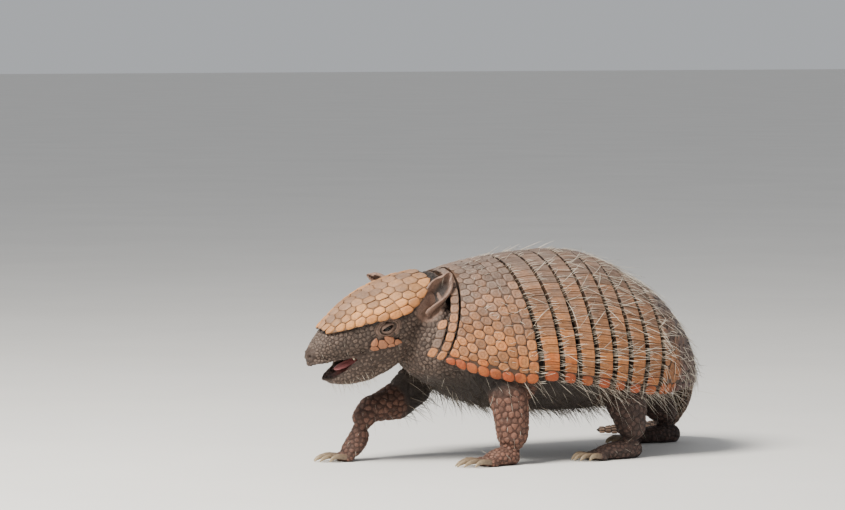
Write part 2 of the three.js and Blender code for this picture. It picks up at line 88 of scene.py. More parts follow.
HEAD_ORIGIN = np.array([-136.0, 2.0, 172.0])
HEAD_YAW, HEAD_PITCH, HEAD_ROLL = (math.radians(a) for a in (7, 28.5, 12))
HEAD_WAIST = 0.45
SKULL_TOP = [(-8, -5), (0, -2), (22, 4), (50, 7.5), (78, 7.5), (102, 3.5), (121, -3), (131, -7)]
SKULL_BOTTOM = [(-8, -42), (30, -45), (58, -43), (86, -35), (108, -28), (131, -21.5)]
SKULL_WIDTH = [(-8, 24), (20, 33), (46, 36), (66, 32.5), (86, 24.5), (106, 17), (120, 13), (131, 11)]
SHIELD_LENGTH = 110.0
SHIELD_REACH = [(0, 62), (40, 80), (70, 70), (110, 62)]
EYE_ALONG, EYE_SIDE, EYE_UP, EYE_RADIUS = 61.0, 28.5, -14.5, 6.0
LIP_RIM = ((86, 19.5, -31), (95, 17.2, -34.5), (104, 14, -38.5), (113, 10.8, -41), (120, 8.6, -41.5))
TAIL_PATH = [
    (126, 6, 84), (149, 13, 74), (169, 33, 57), (182, 62, 32),
    (182, 92, 11), (164, 120, 7), (138, 138, 5),
]
TAIL_RADIUS = [(0, 13), (0.2, 10.5), (0.5, 8.2), (0.8, 5.6), (1, 2.6)]
TONGUE_PATH = [(58, -42), (86, -41), (113, -38)]
EAR_LENGTH, EAR_WALL = 39.0, 2.4
EAR_RADIUS = [(0, 6.5), (0.3, 9.6), (0.62, 11), (0.86, 9.2), (1, 5.5)]
TOE_ROW = (-1.0, -0.5, 0.0, 0.5, 1.0)
CLAW_RADIUS = 2.7
SHARP = 38.0


@dataclass(frozen=True)
class Ear:
    """An ear's root, in head coordinates, the ways it points and opens, and its share of full width."""

    name: str
    base: tuple[float, float, float]
    points: tuple[float, float, float]
    opens: tuple[float, float, float]
    wide: float


@dataclass(frozen=True)
class Leg:
    """A leg's stations (x, y, z, half width fore and aft, half width sideways) and its foot."""

    name: str
    limb: tuple[tuple[float, ...], ...]
    at: tuple[float, float]
    heading: float
    length: float
    width: float
    toe: float
    claw: float
    pitch: float


EARS = (
    Ear("left", (20, 31, -19), (0.46, -0.25, 0.83), (-0.75, -0.6, 0.1), 1.0),
    Ear("right", (17, -31, -21), (-0.4, 0.8, 0.36), (-0.75, -0.2, -0.1), 0.78),
)
LEGS = (
    Leg("front_left", (
        (-90, -44, 92, 22, 14), (-81, -58, 66, 19, 15), (-78, -62, 36, 16, 14.5), (-78, -62, 12, 15, 13.5),
    ), (-78, -62), 184, 27, 14, 13, 20, 0),
    Leg("front_right", (
        (-102, 42, 86, 25, 14), (-132, 46, 54, 19, 15), (-154, 42, 48, 14, 14),
        (-172, 39, 44, 12, 13), (-178, 38, 28, 11.5, 12.5),
    ), (-168, 38.5), 176, 26, 13.5, 12, 18, 62),
    Leg("hind_left", (
        (66, -42, 92, 30, 15), (44, -58, 64, 25, 16), (48, -62, 36, 16, 14), (52, -62, 16, 13, 12.5),
    ), (54, -62), 186, 46, 14, 12, 13, 0),
    Leg("hind_right", (
        (84, 40, 92, 30, 15), (116, 50, 66, 27, 16), (148, 50, 40, 18, 14), (166, 46, 20, 13, 12.5),
    ), (168, 46), 172, 46, 14, 12, 13, 0),
)

# ---- numbers and shapes


def smooth(stations: Stations, at: float | Array) -> Array:
    """Reads a smooth curve through a few stations.

    Args:
        stations: Pairs of position and value, in rising order.
        at: The positions asked for.

    Returns:
        The value at each position.
    """
    xs, ys = np.array(stations, float).T
    slopes = np.empty(len(xs))
    slopes[1:-1] = (ys[2:] - ys[:-2]) / (xs[2:] - xs[:-2])
    slopes[0] = (ys[1] - ys[0]) / (xs[1] - xs[0])
    slopes[-1] = (ys[-1] - ys[-2]) / (xs[-1] - xs[-2])
    at = np.clip(np.asarray(at, float), xs[0], xs[-1])
    i = np.clip(np.searchsorted(xs, at, side="right") - 1, 0, len(xs) - 2)
    width = xs[i + 1] - xs[i]
    t = (at - xs[i]) / width
    s = 1 - t
    rise = (1 + 2 * t) * s * s * ys[i] + t * s * s * width * slopes[i]
    return rise + t * t * (3 - 2 * t) * ys[i + 1] - t * t * s * width * slopes[i + 1]


def fade(value: Array, low: float, high: float) -> Array:
    """A soft step from 0 at low to 1 at high; low may be the larger."""
    t = np.clip((np.asarray(value, float) - low) / (high - low), 0, 1)
    return t * t * (3 - 2 * t)


def unit(vectors: Array) -> Array:
    """Vectors at length one."""
    return vectors / np.maximum(np.linalg.norm(vectors, axis=-1, keepdims=True), 1e-9)


def xyz(x: Array, y: Array, z: Array) -> Array:
    """Points from their three coordinates."""
    return np.stack(np.broadcast_arrays(x, y, z), axis=-1).astype(float)


def squared(value: Array, power: float) -> Array:
    """A power that keeps the sign."""
    return np.sign(value) * np.abs(value) ** power


def around(count: int) -> Array:
    """Even angles round a full turn."""
    return np.arange(count) / count * math.tau


def swell(points: Array, pitch: float | Sequence[float], seed: int = 0) -> Array:
    """Smooth noise from -1 to 1.

    Args:
        points: Points, in the last axis.
        pitch: Size of a swell, in the points' unit, or one size for each axis.
        seed: Which noise.

    Returns:
        One value for each point.
    """
    place = np.asarray(points, float) / np.asarray(pitch, float)
    cell = np.floor(place).astype(np.int64)
    part = place - cell
    part = part * part * (3 - 2 * part)
    total = np.zeros(place.shape[:-1])
    for corner in product((0, 1), repeat=3):
        weight = np.prod(np.where(corner, part, 1 - part), axis=-1)
        x, y, z = np.moveaxis(cell + np.array(corner), -1, 0)
        mixed = (x * 374761393 + y * 668265263 + z * 914744717 + seed * 122949823) & 0xFFFFFFFF
        for shift, factor in ((13, 1274126177), (16, 974126177)):
            mixed = ((mixed ^ (mixed >> shift)) * factor) & 0xFFFFFFFF
        total += weight * (((mixed ^ (mixed >> 15)) & 0xFFFFFF) / 0x7FFFFF - 1)
    return total


def curve_through(points: Stations, share: Array) -> Array:
    """Points on the smooth centripetal curve through a few points.

    Args:
        points: The points that the curve passes.
        share: Places along it, 0 to 1.

    Returns:
        One point for each place.
    """
    p = np.array(points, float)
    p = np.vstack([2 * p[0] - p[1], p, 2 * p[-1] - p[-2]])
    last = len(points) - 1
    place = np.clip(np.asarray(share, float), 0, 1) * last
    i = np.minimum(place.astype(int), last - 1)
    w = (place - i)[..., None]
    x0, x1, x2, x3 = (p[i + k] for k in range(4))
    pairs = ((x0, x1), (x1, x2), (x2, x3))
    d0, d1, d2 = (np.sqrt(np.linalg.norm(b - a, axis=-1, keepdims=True)) for a, b in pairs)
    m1 = ((x1 - x0) / d0 - (x2 - x0) / (d0 + d1) + (x2 - x1) / d1) * d1
    m2 = ((x2 - x1) / d1 - (x3 - x1) / (d1 + d2) + (x3 - x2) / d2) * d1
    return x1 + m1 * w + (3 * (x2 - x1) - 2 * m1 - m2) * w**2 + (2 * (x1 - x2) + m1 + m2) * w**3


# ---- the shell's surface


def spine_y(x: Array) -> Array:
    """How far the spine swings aside at x."""
    return SIDE_BEND * (x / 140) ** 2


def hoop_share(angle: Array, crown: Array) -> Array:
    """Height of a hoop's point over the pivot, as a share of the hoop's height.

    Args:
        angle: Angle from the crown.
        crown: The hoop's height.

    Returns:
        The share.
    """
    waist = (MID_HEIGHT - PIVOT_Z) / (crown - PIVOT_Z)
    c = np.cos(angle)
    return np.where(c > 0, waist + (1 - waist) * np.maximum(c, 0) ** ARCH, waist * (1 + c))


def angle_of_share(share: Array, crown: Array) -> Array:
    """The angle at which a hoop comes down to a share of its height.

    Args:
        share: The share.
        crown: The hoop's height.

    Returns:
        The angle from the crown.
    """
    waist = (MID_HEIGHT - PIVOT_Z) / (crown - PIVOT_Z)
    above = np.maximum((share - waist) / (1 - waist), 0) ** (1 / ARCH)
    return np.arccos(np.clip(np.where(share > waist, above, share / waist - 1), -1, 1))


def hoop_point(x: Array, angle: Array) -> Array:
    """A point of an upright hoop.

    Args:
        x: Where the hoop stands.
        angle: Angle from the crown, positive on the right side.

    Returns:
        The point.
    """
    crown = smooth(CROWN, x)
    y = spine_y(x) + smooth(HALF_WIDTH, x) * np.sin(angle)
    return xyz(x, y, PIVOT_Z + hoop_share(angle, crown) * (crown - PIVOT_Z))


def rump_point(tilt: Array, angle: Array) -> Array:
    """A point of a rump hoop.

    Args:
        tilt: How far the hoop is swung back, in degrees.
        angle: Angle from the crown.

    Returns:
        The point.
    """
    reach = smooth(RUMP_RADIUS, tilt) * hoop_share(angle, smooth(CROWN, PIVOT_X))
    narrowing = 1 - RUMP_NARROWING * (np.asarray(tilt) / RUMP_LAST) ** 2
    x = PIVOT_X + np.sin(np.radians(tilt)) * reach
    y = spine_y(x) + smooth(HALF_WIDTH, PIVOT_X) * narrowing * np.sin(angle)
    return xyz(x, y, PIVOT_Z + np.cos(np.radians(tilt)) * reach)


def margin_angle(x: Array) -> Array:
    """Where the foot of the hoop at x ends, as an angle from the crown."""
    crown = smooth(CROWN, x)
    return angle_of_share((smooth(MARGIN, x) - PIVOT_Z) / (crown - PIVOT_Z), crown)


def rump_margin_angle(tilt: Array) -> Array:
    """Where the foot of a rump hoop ends, as an angle from the crown.

    Args:
        tilt: How far the hoop is swung back, in degrees.

    Returns:
        The angle.
    """
    foot = smooth(MARGIN, PIVOT_X + 75 * np.sin(np.radians(tilt)))
    reach = smooth(RUMP_RADIUS, tilt) * np.cos(np.radians(tilt))
    return angle_of_share((foot - PIVOT_Z) / reach, smooth(CROWN, PIVOT_X))


def lifted(surface: Callable[[Array, Array], Array], a: Array, b: Array, lift: Array) -> Array:
    """Points of a shell surface, moved outwards along its normal.

    Args:
        surface: hoop_point or rump_point.
        a: First coordinate on it.
        b: Second coordinate on it.
        lift: Distance outwards.

    Returns:
        The moved points.
    """
    step = 1e-3
    here = surface(a, b)
    normal = unit(np.cross(surface(a + step, b) - here, surface(a, b + step) - here))
    outward = here - xyz(np.minimum(here[..., 0], PIVOT_X), spine_y(here[..., 0]), 60)
    flip = np.sign(np.sum(normal * outward, axis=-1))
    return here + normal * (flip * lift)[..., None]


def body_point(station: Array, angle: Array, lift: Array) -> Array:
    """A point over the whole shell, where the station runs on past the pivot around the rump.

    Args:
        station: x as far as the pivot, and then millimetres along the rump.
        angle: Angle from the crown.
        lift: Distance outwards.

    Returns:
        The points.
    """
    upright = lifted(hoop_point, np.minimum(station, PIVOT_X), angle, lift)
    rump = lifted(rump_point, np.clip((station - PIVOT_X) / RUMP_PACE, 0, 80), angle, lift)
    return np.where((station > PIVOT_X)[..., None], rump, upright)


def lean(x: float | Array, angle: Array) -> Array:
    """How far the hoop at x leans forward of the upright at an angle from the crown."""
    share = np.clip((PIVOT_X - x) / (PIVOT_X - SCAPULAR_FRONT), 0, 1)
    return HOOP_LEAN * share * (0.35 - np.cos(angle) * 0.65)


def band_edge(x: float, side: int) -> Edge:
    """The edge of a band at one side, -1 or 1, of the gap that stands at x."""
    widening = GAP_CROWN - GAP_SIDE
    return lambda angle: x + lean(x, angle) + side * (GAP_SIDE + widening * np.maximum(np.cos(angle), 0)) / 2


def front_edge(shift: float) -> Edge:
    """The scapular shield's front edge, moved forward by a shift."""
    return lambda angle: SCAPULAR_FRONT - shift - SCAPULAR_REACH * np.minimum((1 - np.cos(angle)) / 1.2, 1)


class Patch:
    """A part of the body's surface with two coordinates, along and across, each 0 to 1."""

    def at(self, along: Array, across: Array, lift: Array) -> Array:
        """Points of the patch, lifted off it."""
        raise NotImplementedError

    def lengths(self, along: Array, across: Array, axis: int) -> Array:
        """The lengths of the patch's lines through a grid of places, along (axis 0) or across (axis 1)."""
        line = self.at(along[:, None], across[None], np.zeros((len(along), len(across))))
        return np.linalg.norm(np.diff(line, axis=axis), axis=2).sum(axis)


class PlatePatch(Patch):
    """A plate of the shell, whose places across are evened out along its middle hoop."""

    def measure(self, middle: float, first: float = -1, last: float = 1) -> None:
        """Measures a hoop.

        Args:
            middle: Its place along.
            first: The share of the hoop where the plate starts.
            last: The share where it ends.
        """
        shares = np.linspace(first, last, 240)
        line = self.place(np.full(240, middle), shares, 0)
        length = np.concatenate([[0], np.cumsum(np.linalg.norm(np.diff(line, axis=0), axis=1))])
        self.table = length / length[-1], shares

    def place(self, along: Array, share: Array, lift: float | Array) -> Array:
        """Points for a place along and a share of the hoop, -1 to 1."""
        raise NotImplementedError

    def at(self, along: Array, across: Array, lift: Array) -> Array:
        """Points of the patch, lifted off it."""
        return self.place(along, np.interp(across, *self.table), lift)


class HoopPatch(PlatePatch):
    """A plate between two edges of the upright part of the shell."""

    def __init__(self, front: Edge, rear: Edge, sides: tuple[float, float] = (-1, 1), start: float = 0) -> None:
        """Keeps the edges, the sides that the plate covers and its start angle from the crown."""
        self.front, self.rear, self.start = front, rear, start
        self.measure(0.5, *sides)

    def place(self, along: Array, share: Array, lift: float | Array) -> Array:
        """Points of the plate.

        Args:
            along: Places along.
            share: Shares of the hoop, -1 to 1.
            lift: Distance outwards.

        Returns:
            The points.
        """
        angle = np.zeros(np.broadcast(along, share).shape)
        for _ in range(8):
            x = self.front(angle) * (1 - along) + self.rear(angle) * along
            angle = share * (margin_angle(x) - self.start) + np.sign(share) * self.start
        return lifted(hoop_point, x, angle, lift + np.zeros_like(x))


class RumpPatch(PlatePatch):
    """The pelvic shield's part of the surface."""

    def __init__(self) -> None:
        """Measures the middle hoop."""
        self.measure(0.45)

    def place(self, along: Array, share: Array, lift: float | Array) -> Array:
        """Points for a place along and a share of the hoop, -1 to 1."""
        tilt = RUMP_FIRST + (RUMP_LAST - RUMP_FIRST) * along
        return lifted(rump_point, tilt, share * rump_margin_angle(tilt), lift + np.zeros_like(tilt * share))


# ---- the head's surface


def head_axes() -> Array:
    """The head's forward, left and up directions.

    Returns:
        One direction in each row.
    """
    cos_pitch, cos_roll, sin_roll = math.cos(HEAD_PITCH), math.cos(HEAD_ROLL), math.sin(HEAD_ROLL)
    forward = np.array([-math.cos(HEAD_YAW) * cos_pitch, math.sin(HEAD_YAW) * cos_pitch, -math.sin(HEAD_PITCH)])
    level = np.array([-math.sin(HEAD_YAW), -math.cos(HEAD_YAW), 0])
    left = level * cos_roll - np.cross(forward, level) * sin_roll
    return np.array([forward, left, np.cross(forward, left)])


HEAD_AXES = head_axes()


def head_point(along: Array, side: Array, up: Array) -> Array:
    """From head coordinates (to the nose, to the left, up) to the drawing's."""
    return HEAD_ORIGIN + xyz(along, side, up) @ HEAD_AXES


def head_coordinates(points: Array) -> Array:
    """From the drawing's coordinates to the head's, each along the first axis: along, left, up."""
    return np.moveaxis((points - HEAD_ORIGIN) @ HEAD_AXES.T, -1, 0)


def skull_point(along: Array, angle: Array, grow: Array) -> Array:
    """A point of the skull's surface.

    Args:
        along: Place along the head.
        angle: Angle from the crown, positive on the left.
        grow: How far the surface is grown outwards.

    Returns:
        The point.
    """
    top, bottom = smooth(SKULL_TOP, along), smooth(SKULL_BOTTOM, along)
    waist = top + (bottom - top) * HEAD_WAIST
    c, s = squared(np.cos(angle), 0.86), squared(np.sin(angle), 0.86)
    up = waist + np.where(c > 0, top - waist + grow, waist - bottom + grow) * c
    return head_point(along, (smooth(SKULL_WIDTH, along) + grow) * s, up)


class HeadPatch(Patch):
    """The head shield's part of the skull."""

    base = 3.2

    def reach(self, along: Array) -> Array:
        """The shield's half width at a place, as an angle from the crown."""
        corner = 1 - 0.5 * np.abs(2 * along - 1) ** 5
        return np.radians(smooth(SHIELD_REACH, along * SHIELD_LENGTH)) * corner

    def at(self, along: Array, across: Array, lift: Array) -> Array:
        """Points of the patch, lifted off it."""
        angle = (1 - 2 * across) * self.reach(along)
        return skull_point(along * SHIELD_LENGTH, angle, self.base + lift)

    def half_length(self, along: Array) -> Array:
        """Millimetres from the middle line to the shield's edge at each place."""
        return self.lengths(np.asarray(along), np.linspace(0.5, 1, 30), 1)


class CheekPatch(Patch):
    """The ovals under the eyes; the left one takes the first half across and the right one the second."""

    start, length = 53.0, 29.0
    first, reach, slant, base, rise = 100.0, 54.0, 17.0, 1.0, 1.7

    def at(self, along: Array, across: Array, lift: Array) -> Array:
        """Points of the patch, lifted off it.

        Args:
            along: Places along.
            across: Places across, of which the second half mirrors the first.
            lift: Distance outwards.

        Returns:
            The points.
        """
        side = np.where(across < 0.5, 1, -1)
        share = across % 0.5 * 2
        down = self.first + self.reach * share + self.slant * (0.5 - along)
        grow = self.base + self.rise * share + lift
        return skull_point(self.start + self.length * along, np.radians(down) * side, grow)


class TubePatch(Patch):
    """The surface of a limb along a path, with across going round it."""

    def __init__(self, path: Stations, radii: Stations, aside: Sequence[float] = (0, 1, 0)) -> None:
        """Keeps the path, its radius at shares of it and its sideways direction."""
        self.path, self.radii, self.aside = path, radii, aside

    def at(self, along: Array, across: Array, lift: Array) -> Array:
        """Points of the patch, lifted off it.

        Args:
            along: Places along the path.
            across: Shares of a turn.
            lift: Distance outwards.

        Returns:
            The points.
        """
        along, across = np.broadcast_arrays(along, across)
        low, high = (curve_through(self.path, np.clip(along + step, 0, 1)) for step in (-1e-3, 1e-3))
        ahead = unit(high - low)
        fore = unit(np.cross(ahead, self.aside))
        radius = smooth(self.radii, along) + lift
        turn = across * math.tau
        ring = fore * (radius * np.cos(turn))[..., None]
        return curve_through(self.path, along) + ring + np.cross(fore, ahead) * (radius * np.sin(turn))[..., None]


# ---- meshes


def select(*pieces: bpy.types.Object) -> None:
    """Selects only some objects and makes the last one active."""
    bpy.ops.object.select_all(action="DESELECT")
    for piece in pieces:
        piece.select_set(True)
    bpy.context.view_layer.objects.active = pieces[-1]


def edit(piece: bpy.types.Object, operator: Callable[[], object]) -> None:
    """Runs an edit operator on all of a piece.

    Args:
        piece: The piece.
        operator: Calls the operator.
    """
    select(piece)
    bpy.ops.object.mode_set(mode="EDIT")
    bpy.ops.mesh.select_all(action="SELECT")
    operator()
    bpy.ops.object.mode_set(mode="OBJECT")


def read_points(data: bpy.types.Mesh) -> Array:
    """A mesh's points, in the drawing's millimetres."""
    found = np.empty(len(data.vertices) * 3, np.float32)
    data.vertices.foreach_get("co", found)
    return found.reshape(-1, 3).astype(float) / MM - SHIFT


def write_points(data: bpy.types.Mesh, points: Array) -> None:
    """Moves a mesh's points to places in the drawing."""
    data.vertices.foreach_set("co", ((points + SHIFT) * MM).astype(np.float32).ravel())


def write_value(data: bpy.types.Mesh, name: str, values: Array) -> None:
    """Gives a mesh's points a named value."""
    data.attributes.new(name, "FLOAT", "POINT").data.foreach_set("value", values.astype(np.float32))


def place_object(name: str, data: bpy.types.ID) -> bpy.types.Object:
    """Puts a new object at the origin of the scene."""
    made = bpy.data.objects.new(name, data)
    bpy.context.scene.collection.objects.link(made)
    return made


def hand_over(piece: bpy.types.Object, material: bpy.types.Material, slot: str, *nodes: str) -> None:
    """Dresses a finished piece and gives it to the frame.

    Args:
        piece: The piece.
        material: Its finish.
        slot: Not used.
        *nodes: The solids that it stands for.
    """
    piece.data.materials.clear()
    piece.data.materials.append(material)
    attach(piece, "root")
    if nodes:
        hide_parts(*nodes)
    piece.data.calc_loop_triangles()
    log.info("%s: %d triangles", piece.name, len(piece.data.loop_triangles))


class Draft:
    """Collects the points, faces and point values of one piece, and builds its object."""

    def __init__(self, *names: str) -> None:
        """Starts an empty piece whose points carry the named values."""
        self.points, self.faces, self.buried, self.roots, self.count = [], [], [], [], 0
        self.values: dict[str, list[Array]] = {name: [] for name in names}

    def add(self, points: Array, faces: Sequence[Array], roots: Array | None = None, buried: int = 0,
            **values: Array) -> None:
        """Adds a part.

        Args:
            points: Its points.
            faces: Arrays of faces, each of one size, that index the part's points.
            roots: Places on the bake map, one for each point.
            buried: How many of the last arrays of faces never show, and need no room on the map.
            **values: The named values, which are spread over the points.
        """
        self.points.append(points.reshape(-1, 3))
        self.faces += [f.reshape(-1, f.shape[-1]) + self.count for f in faces]
        self.buried += [k >= len(faces) - buried for k in range(len(faces))]
        for name, store in self.values.items():
            store.append(np.broadcast_to(values.get(name, 0.0), points.shape[:-1]).reshape(-1))
        if roots is not None:
            self.roots.append(roots.reshape(-1, 2))
        self.count += len(self.points[-1])

    def build(self, name: str, sharp: float = 180.0) -> bpy.types.Object:
        """Makes the object.

        Args:
            name: Its name.
            sharp: Edges that turn by more than this stay sharp, in degrees.

        Returns:
            The new object, at the origin.
        """
        data = bpy.data.meshes.new(name)
        corners = np.concatenate([f.ravel() for f in self.faces]).astype(np.int32)
        sizes = np.concatenate([np.full(len(f), f.shape[1]) for f in self.faces])
        data.vertices.add(self.count)
        write_points(data, np.concatenate(self.points))
        data.loops.add(len(corners))
        data.loops.foreach_set("vertex_index", corners)
        data.polygons.add(len(sizes))
        data.polygons.foreach_set("loop_start", (np.cumsum(sizes) - sizes).astype(np.int32))
        data.polygons.foreach_set("use_smooth", np.ones(len(sizes), bool))
        data.update(calc_edges=True)
        data.validate()
        for key, store in self.values.items():
            write_value(data, key, np.concatenate(store))
        if self.roots:
            places = np.concatenate(self.roots)[corners]
            hidden = np.concatenate([np.full(f.size, b) for f, b in zip(self.faces, self.buried)])
            places[hidden] = 0.9975 + 0.002 * (places[hidden] % 1)
            data.uv_layers.new(name="OFBake").data.foreach_set("uv", places.astype(np.float32).ravel())
        if sharp < 180:
            data.set_sharp_from_angle(angle=math.radians(sharp))
        return place_object(name, data)

    def finish(self, name: str, material: bpy.types.Material, slot: str, *nodes: str, sharp: float = 180.0) -> None:
        """Builds a closed piece, turns its faces outwards and hands it over.

        Args:
            name: Its name.
            material: Its finish.
            slot: A material slot's name, passed on to hand_over.
            *nodes: The solids that it stands for.
            sharp: Edges that turn by more than this stay sharp, in degrees.
        """
        piece = self.build(name, sharp)
        face_outwards(piece)
        hand_over(piece, material, slot, *nodes)


def face_outwards(piece: bpy.types.Object) -> None:
    """Turns every face of a closed piece outwards."""
    edit(piece, lambda: bpy.ops.mesh.normals_make_consistent(inside=False))


def bake_place(along: Array, across: Array, strip: int = 0) -> Array:
    """Where a patch's places lie on the bake map: its scutes, or a face of the sheet under them."""
    start, wide = ((0.005, 0.74), (0.76, 0.11), (0.88, 0.11))[strip]
    return np.stack(np.broadcast_arrays(start + wide * along, 0.005 + 0.98 * across), axis=-1)


def grid_faces(rows: int, columns: int, wrap: bool = False) -> Array:
    """Quads of a grid of points.

    Args:
        rows: Points along.
        columns: Points across.
        wrap: Whether the last column joins the first.

    Returns:
        The quads.
    """
    i, j = np.meshgrid(np.arange(rows - 1), np.arange(columns if wrap else columns - 1), indexing="ij")
    low, k = i * columns, (j + 1) % columns
    return np.stack([low + j, low + columns + j, low + columns + k, low + k], -1).reshape(-1, 4)


def rim_of(rows: int, columns: int) -> Array:
    """The points on the rim of a grid, in order."""
    return np.concatenate([
        np.arange(columns), np.arange(1, rows) * columns + columns - 1,
        (rows - 1) * columns + np.arange(columns - 2, -1, -1), np.arange(rows - 2, 0, -1) * columns,
    ])


def sheet_faces(rows: int, columns: int) -> list[Array]:
    """Faces of a closed sheet of two grids.

    Args:
        rows: Points along.
        columns: Points across.

    Returns:
        The outer grid, the inner grid and the wall round the rim.
    """
    half, rim, quads = rows * columns, rim_of(rows, columns), grid_faces(rows, columns)
    after = np.roll(rim, -1)
    return [quads, quads[..., ::-1] + half, np.stack([rim, after, after + half, rim + half], -1)]


def boss_faces(count: int, rows: int, columns: int) -> list[Array]:
    """Faces of many bosses, each of which has its rings of points and then its tip.

    Args:
        count: How many bosses.
        rows: Rings of each.
        columns: Points of a ring.

    Returns:
        The quads between rings, the fans round the tips and the hidden feet.
    """
    start = (np.arange(count) * (rows * columns + 1))[:, None, None]
    turn, top = np.arange(columns), (rows - 1) * columns
    fan = np.stack([top + turn, top + (turn + 1) % columns, np.full(columns, rows * columns)], -1)
    return [grid_faces(rows, columns, wrap=True) + start, fan + start, turn[None, ::-1] + start]


def add_tube(draft: Draft, rings: Array, strip: int | None = None, **values: Array) -> None:
    """Adds a closed tube from its rings of points, with a point at each end.

    Args:
        draft: The piece.
        rings: Points by ring and place in the ring.
        strip: Its strip of the bake map, if the piece has one.
        **values: The point values, one for all or one for each ring.
    """
    rows, columns = rings.shape[:2]
    points = np.concatenate([rings.reshape(-1, 3), rings[0].mean(0)[None], rings[-1].mean(0)[None]])
    turn, end, first = np.arange(columns), (rows - 1) * columns, np.full(columns, rows * columns)
    after = (turn + 1) % columns
    caps = [np.stack([first, turn, after], -1), np.stack([first + 1, end + after, end + turn], -1)]
    roots = None
    if strip is not None:
        place = bake_place(np.linspace(0, 1, rows)[:, None], turn[None] / columns, strip).reshape(-1, 2)
        roots = np.concatenate([place, place[:1], place[-1:]])
    for key, value in values.items():
        if np.ndim(value):
            values[key] = np.concatenate([np.repeat(value, columns), value[[0, -1]]])
    draft.add(points, [grid_faces(rows, columns, wrap=True), *caps], roots, **values)


def add_sheet(draft: Draft, patch: Patch, steps: tuple[int, int], lifts: tuple[float, float],
              inset: tuple[float, float]) -> None:
    """Adds a closed sheet under a patch's scutes.

    Args:
        draft: The piece.
        patch: Where it lies.
        steps: Steps along and across.
        lifts: Lift of its outer and its inner face.
        inset: Shares by which its edges stay inside the patch, along and across.
    """
    along = np.linspace(inset[0], 1 - inset[0], steps[0] + 1)[:, None]
    across = np.linspace(inset[1], 1 - inset[1], steps[1] + 1)[None]
    shape = along.size, across.size
    faces = np.stack([patch.at(along, across, np.full(shape, lift)) for lift in lifts])
    roots = np.stack([bake_place(along, across, strip) for strip in (1, 2)])
    draft.add(faces, sheet_faces(*shape), roots, 1, tone=0.5, edge=0.15, flank=0.5)


# ---- scutes

HORN_VALUES = ("tone", "edge", "flank")


def clip(polygon: Array, normal: Array, offset: float) -> Array:
    """Cuts a polygon by a line.

    Args:
        polygon: Its corners.
        normal: The line's normal.
        offset: The line's offset along its normal.

    Returns:
        The corners of the part behind the line.
    """
    side = polygon @ normal - offset
    kept = []
    for b in range(len(polygon)):
        a = b - 1
        if (side[a] <= 0) != (side[b] <= 0):
            kept.append(polygon[a] + side[a] / (side[a] - side[b]) * (polygon[b] - polygon[a]))
        if side[b] <= 0:
            kept.append(polygon[b])
    return np.array(kept) if len(kept) > 2 else polygon[:0]


def cell(seed: Array, others: Array, polygon: Array) -> Array:
    """Cuts a seed's own cell out of a polygon.

    Args:
        seed: The seed.
        others: The seeds near it.
        polygon: The corners of what may be cut.

    Returns:
        The corners of the part that lies nearer to the seed than to any other.
    """
    for other in others:
        away = other - seed
        if len(polygon) > 2:
            polygon = clip(polygon, away, away @ (seed + other) / 2)
    return polygon


def outline(polygon: Array, count: int, rounding: float) -> Array:
    """Walks round a polygon by way of its corners, which are drawn in a little.

    Args:
        polygon: Its corners.
        count: Points wanted.
        rounding: How far the corners are drawn in, as a share of the way to their neighbours' middle.

    Returns:
        The points.
    """
    while True:
        edges = np.roll(polygon, -1, axis=0) - polygon
        length = np.linalg.norm(edges, axis=1)
        if len(polygon) <= count:
            break
        polygon = np.delete(polygon, int(length.argmin()), axis=0)
    extra = np.zeros(len(polygon), int)
    for _ in range(count - len(polygon)):
        extra[(length / (extra + 1)).argmax()] += 1
    before, after = np.roll(polygon, 1, axis=0), np.roll(polygon, -1, axis=0)
    drawn = polygon * (1 - rounding) + (before + after) * rounding / 2
    walk = []
    for corner, start, edge, more in zip(drawn, polygon, edges, extra):
        walk += [corner, *(start + edge * k / (more + 1) for k in range(1, more + 1))]
    return np.array(walk)


@dataclass(frozen=True)
class Relief:
    """A scute's form: rings of (inset in mm, share of the outline, lift, edge value), and its centre."""

    rings: tuple[tuple[float, float, float, float], ...]
    centre: float
    tilt: float = 0.22


PLAIN_RELIEF = Relief((
    (0.06, 1, -1.7, 0), (0.15, 1, -0.35, 0.1), (0.8, 1, 0.22, 0.9), (0.9, 0.66, 0.34, 1), (0.9, 0.5, 0.06, 0.2),
), 0.3)
MARGIN_RELIEF = Relief((
    (0.1, 1, -3.4, 0.1), (0.1, 1, -0.9, 0.3), (0.9, 1, 0.35, 0.85), (2.3, 1, 0.75, 1), (1.2, 0.45, 0.85, 1),
), 0.9)
HEAD_RELIEF = Relief((
    (0.06, 1, -1.6, 0), (0.15, 1, -0.35, 0.1), (0.8, 1, 0.22, 0.85), (2.0, 1, 0.44, 1), (1.6, 0.55, 0.45, 1),
), 0.4, 0.3)


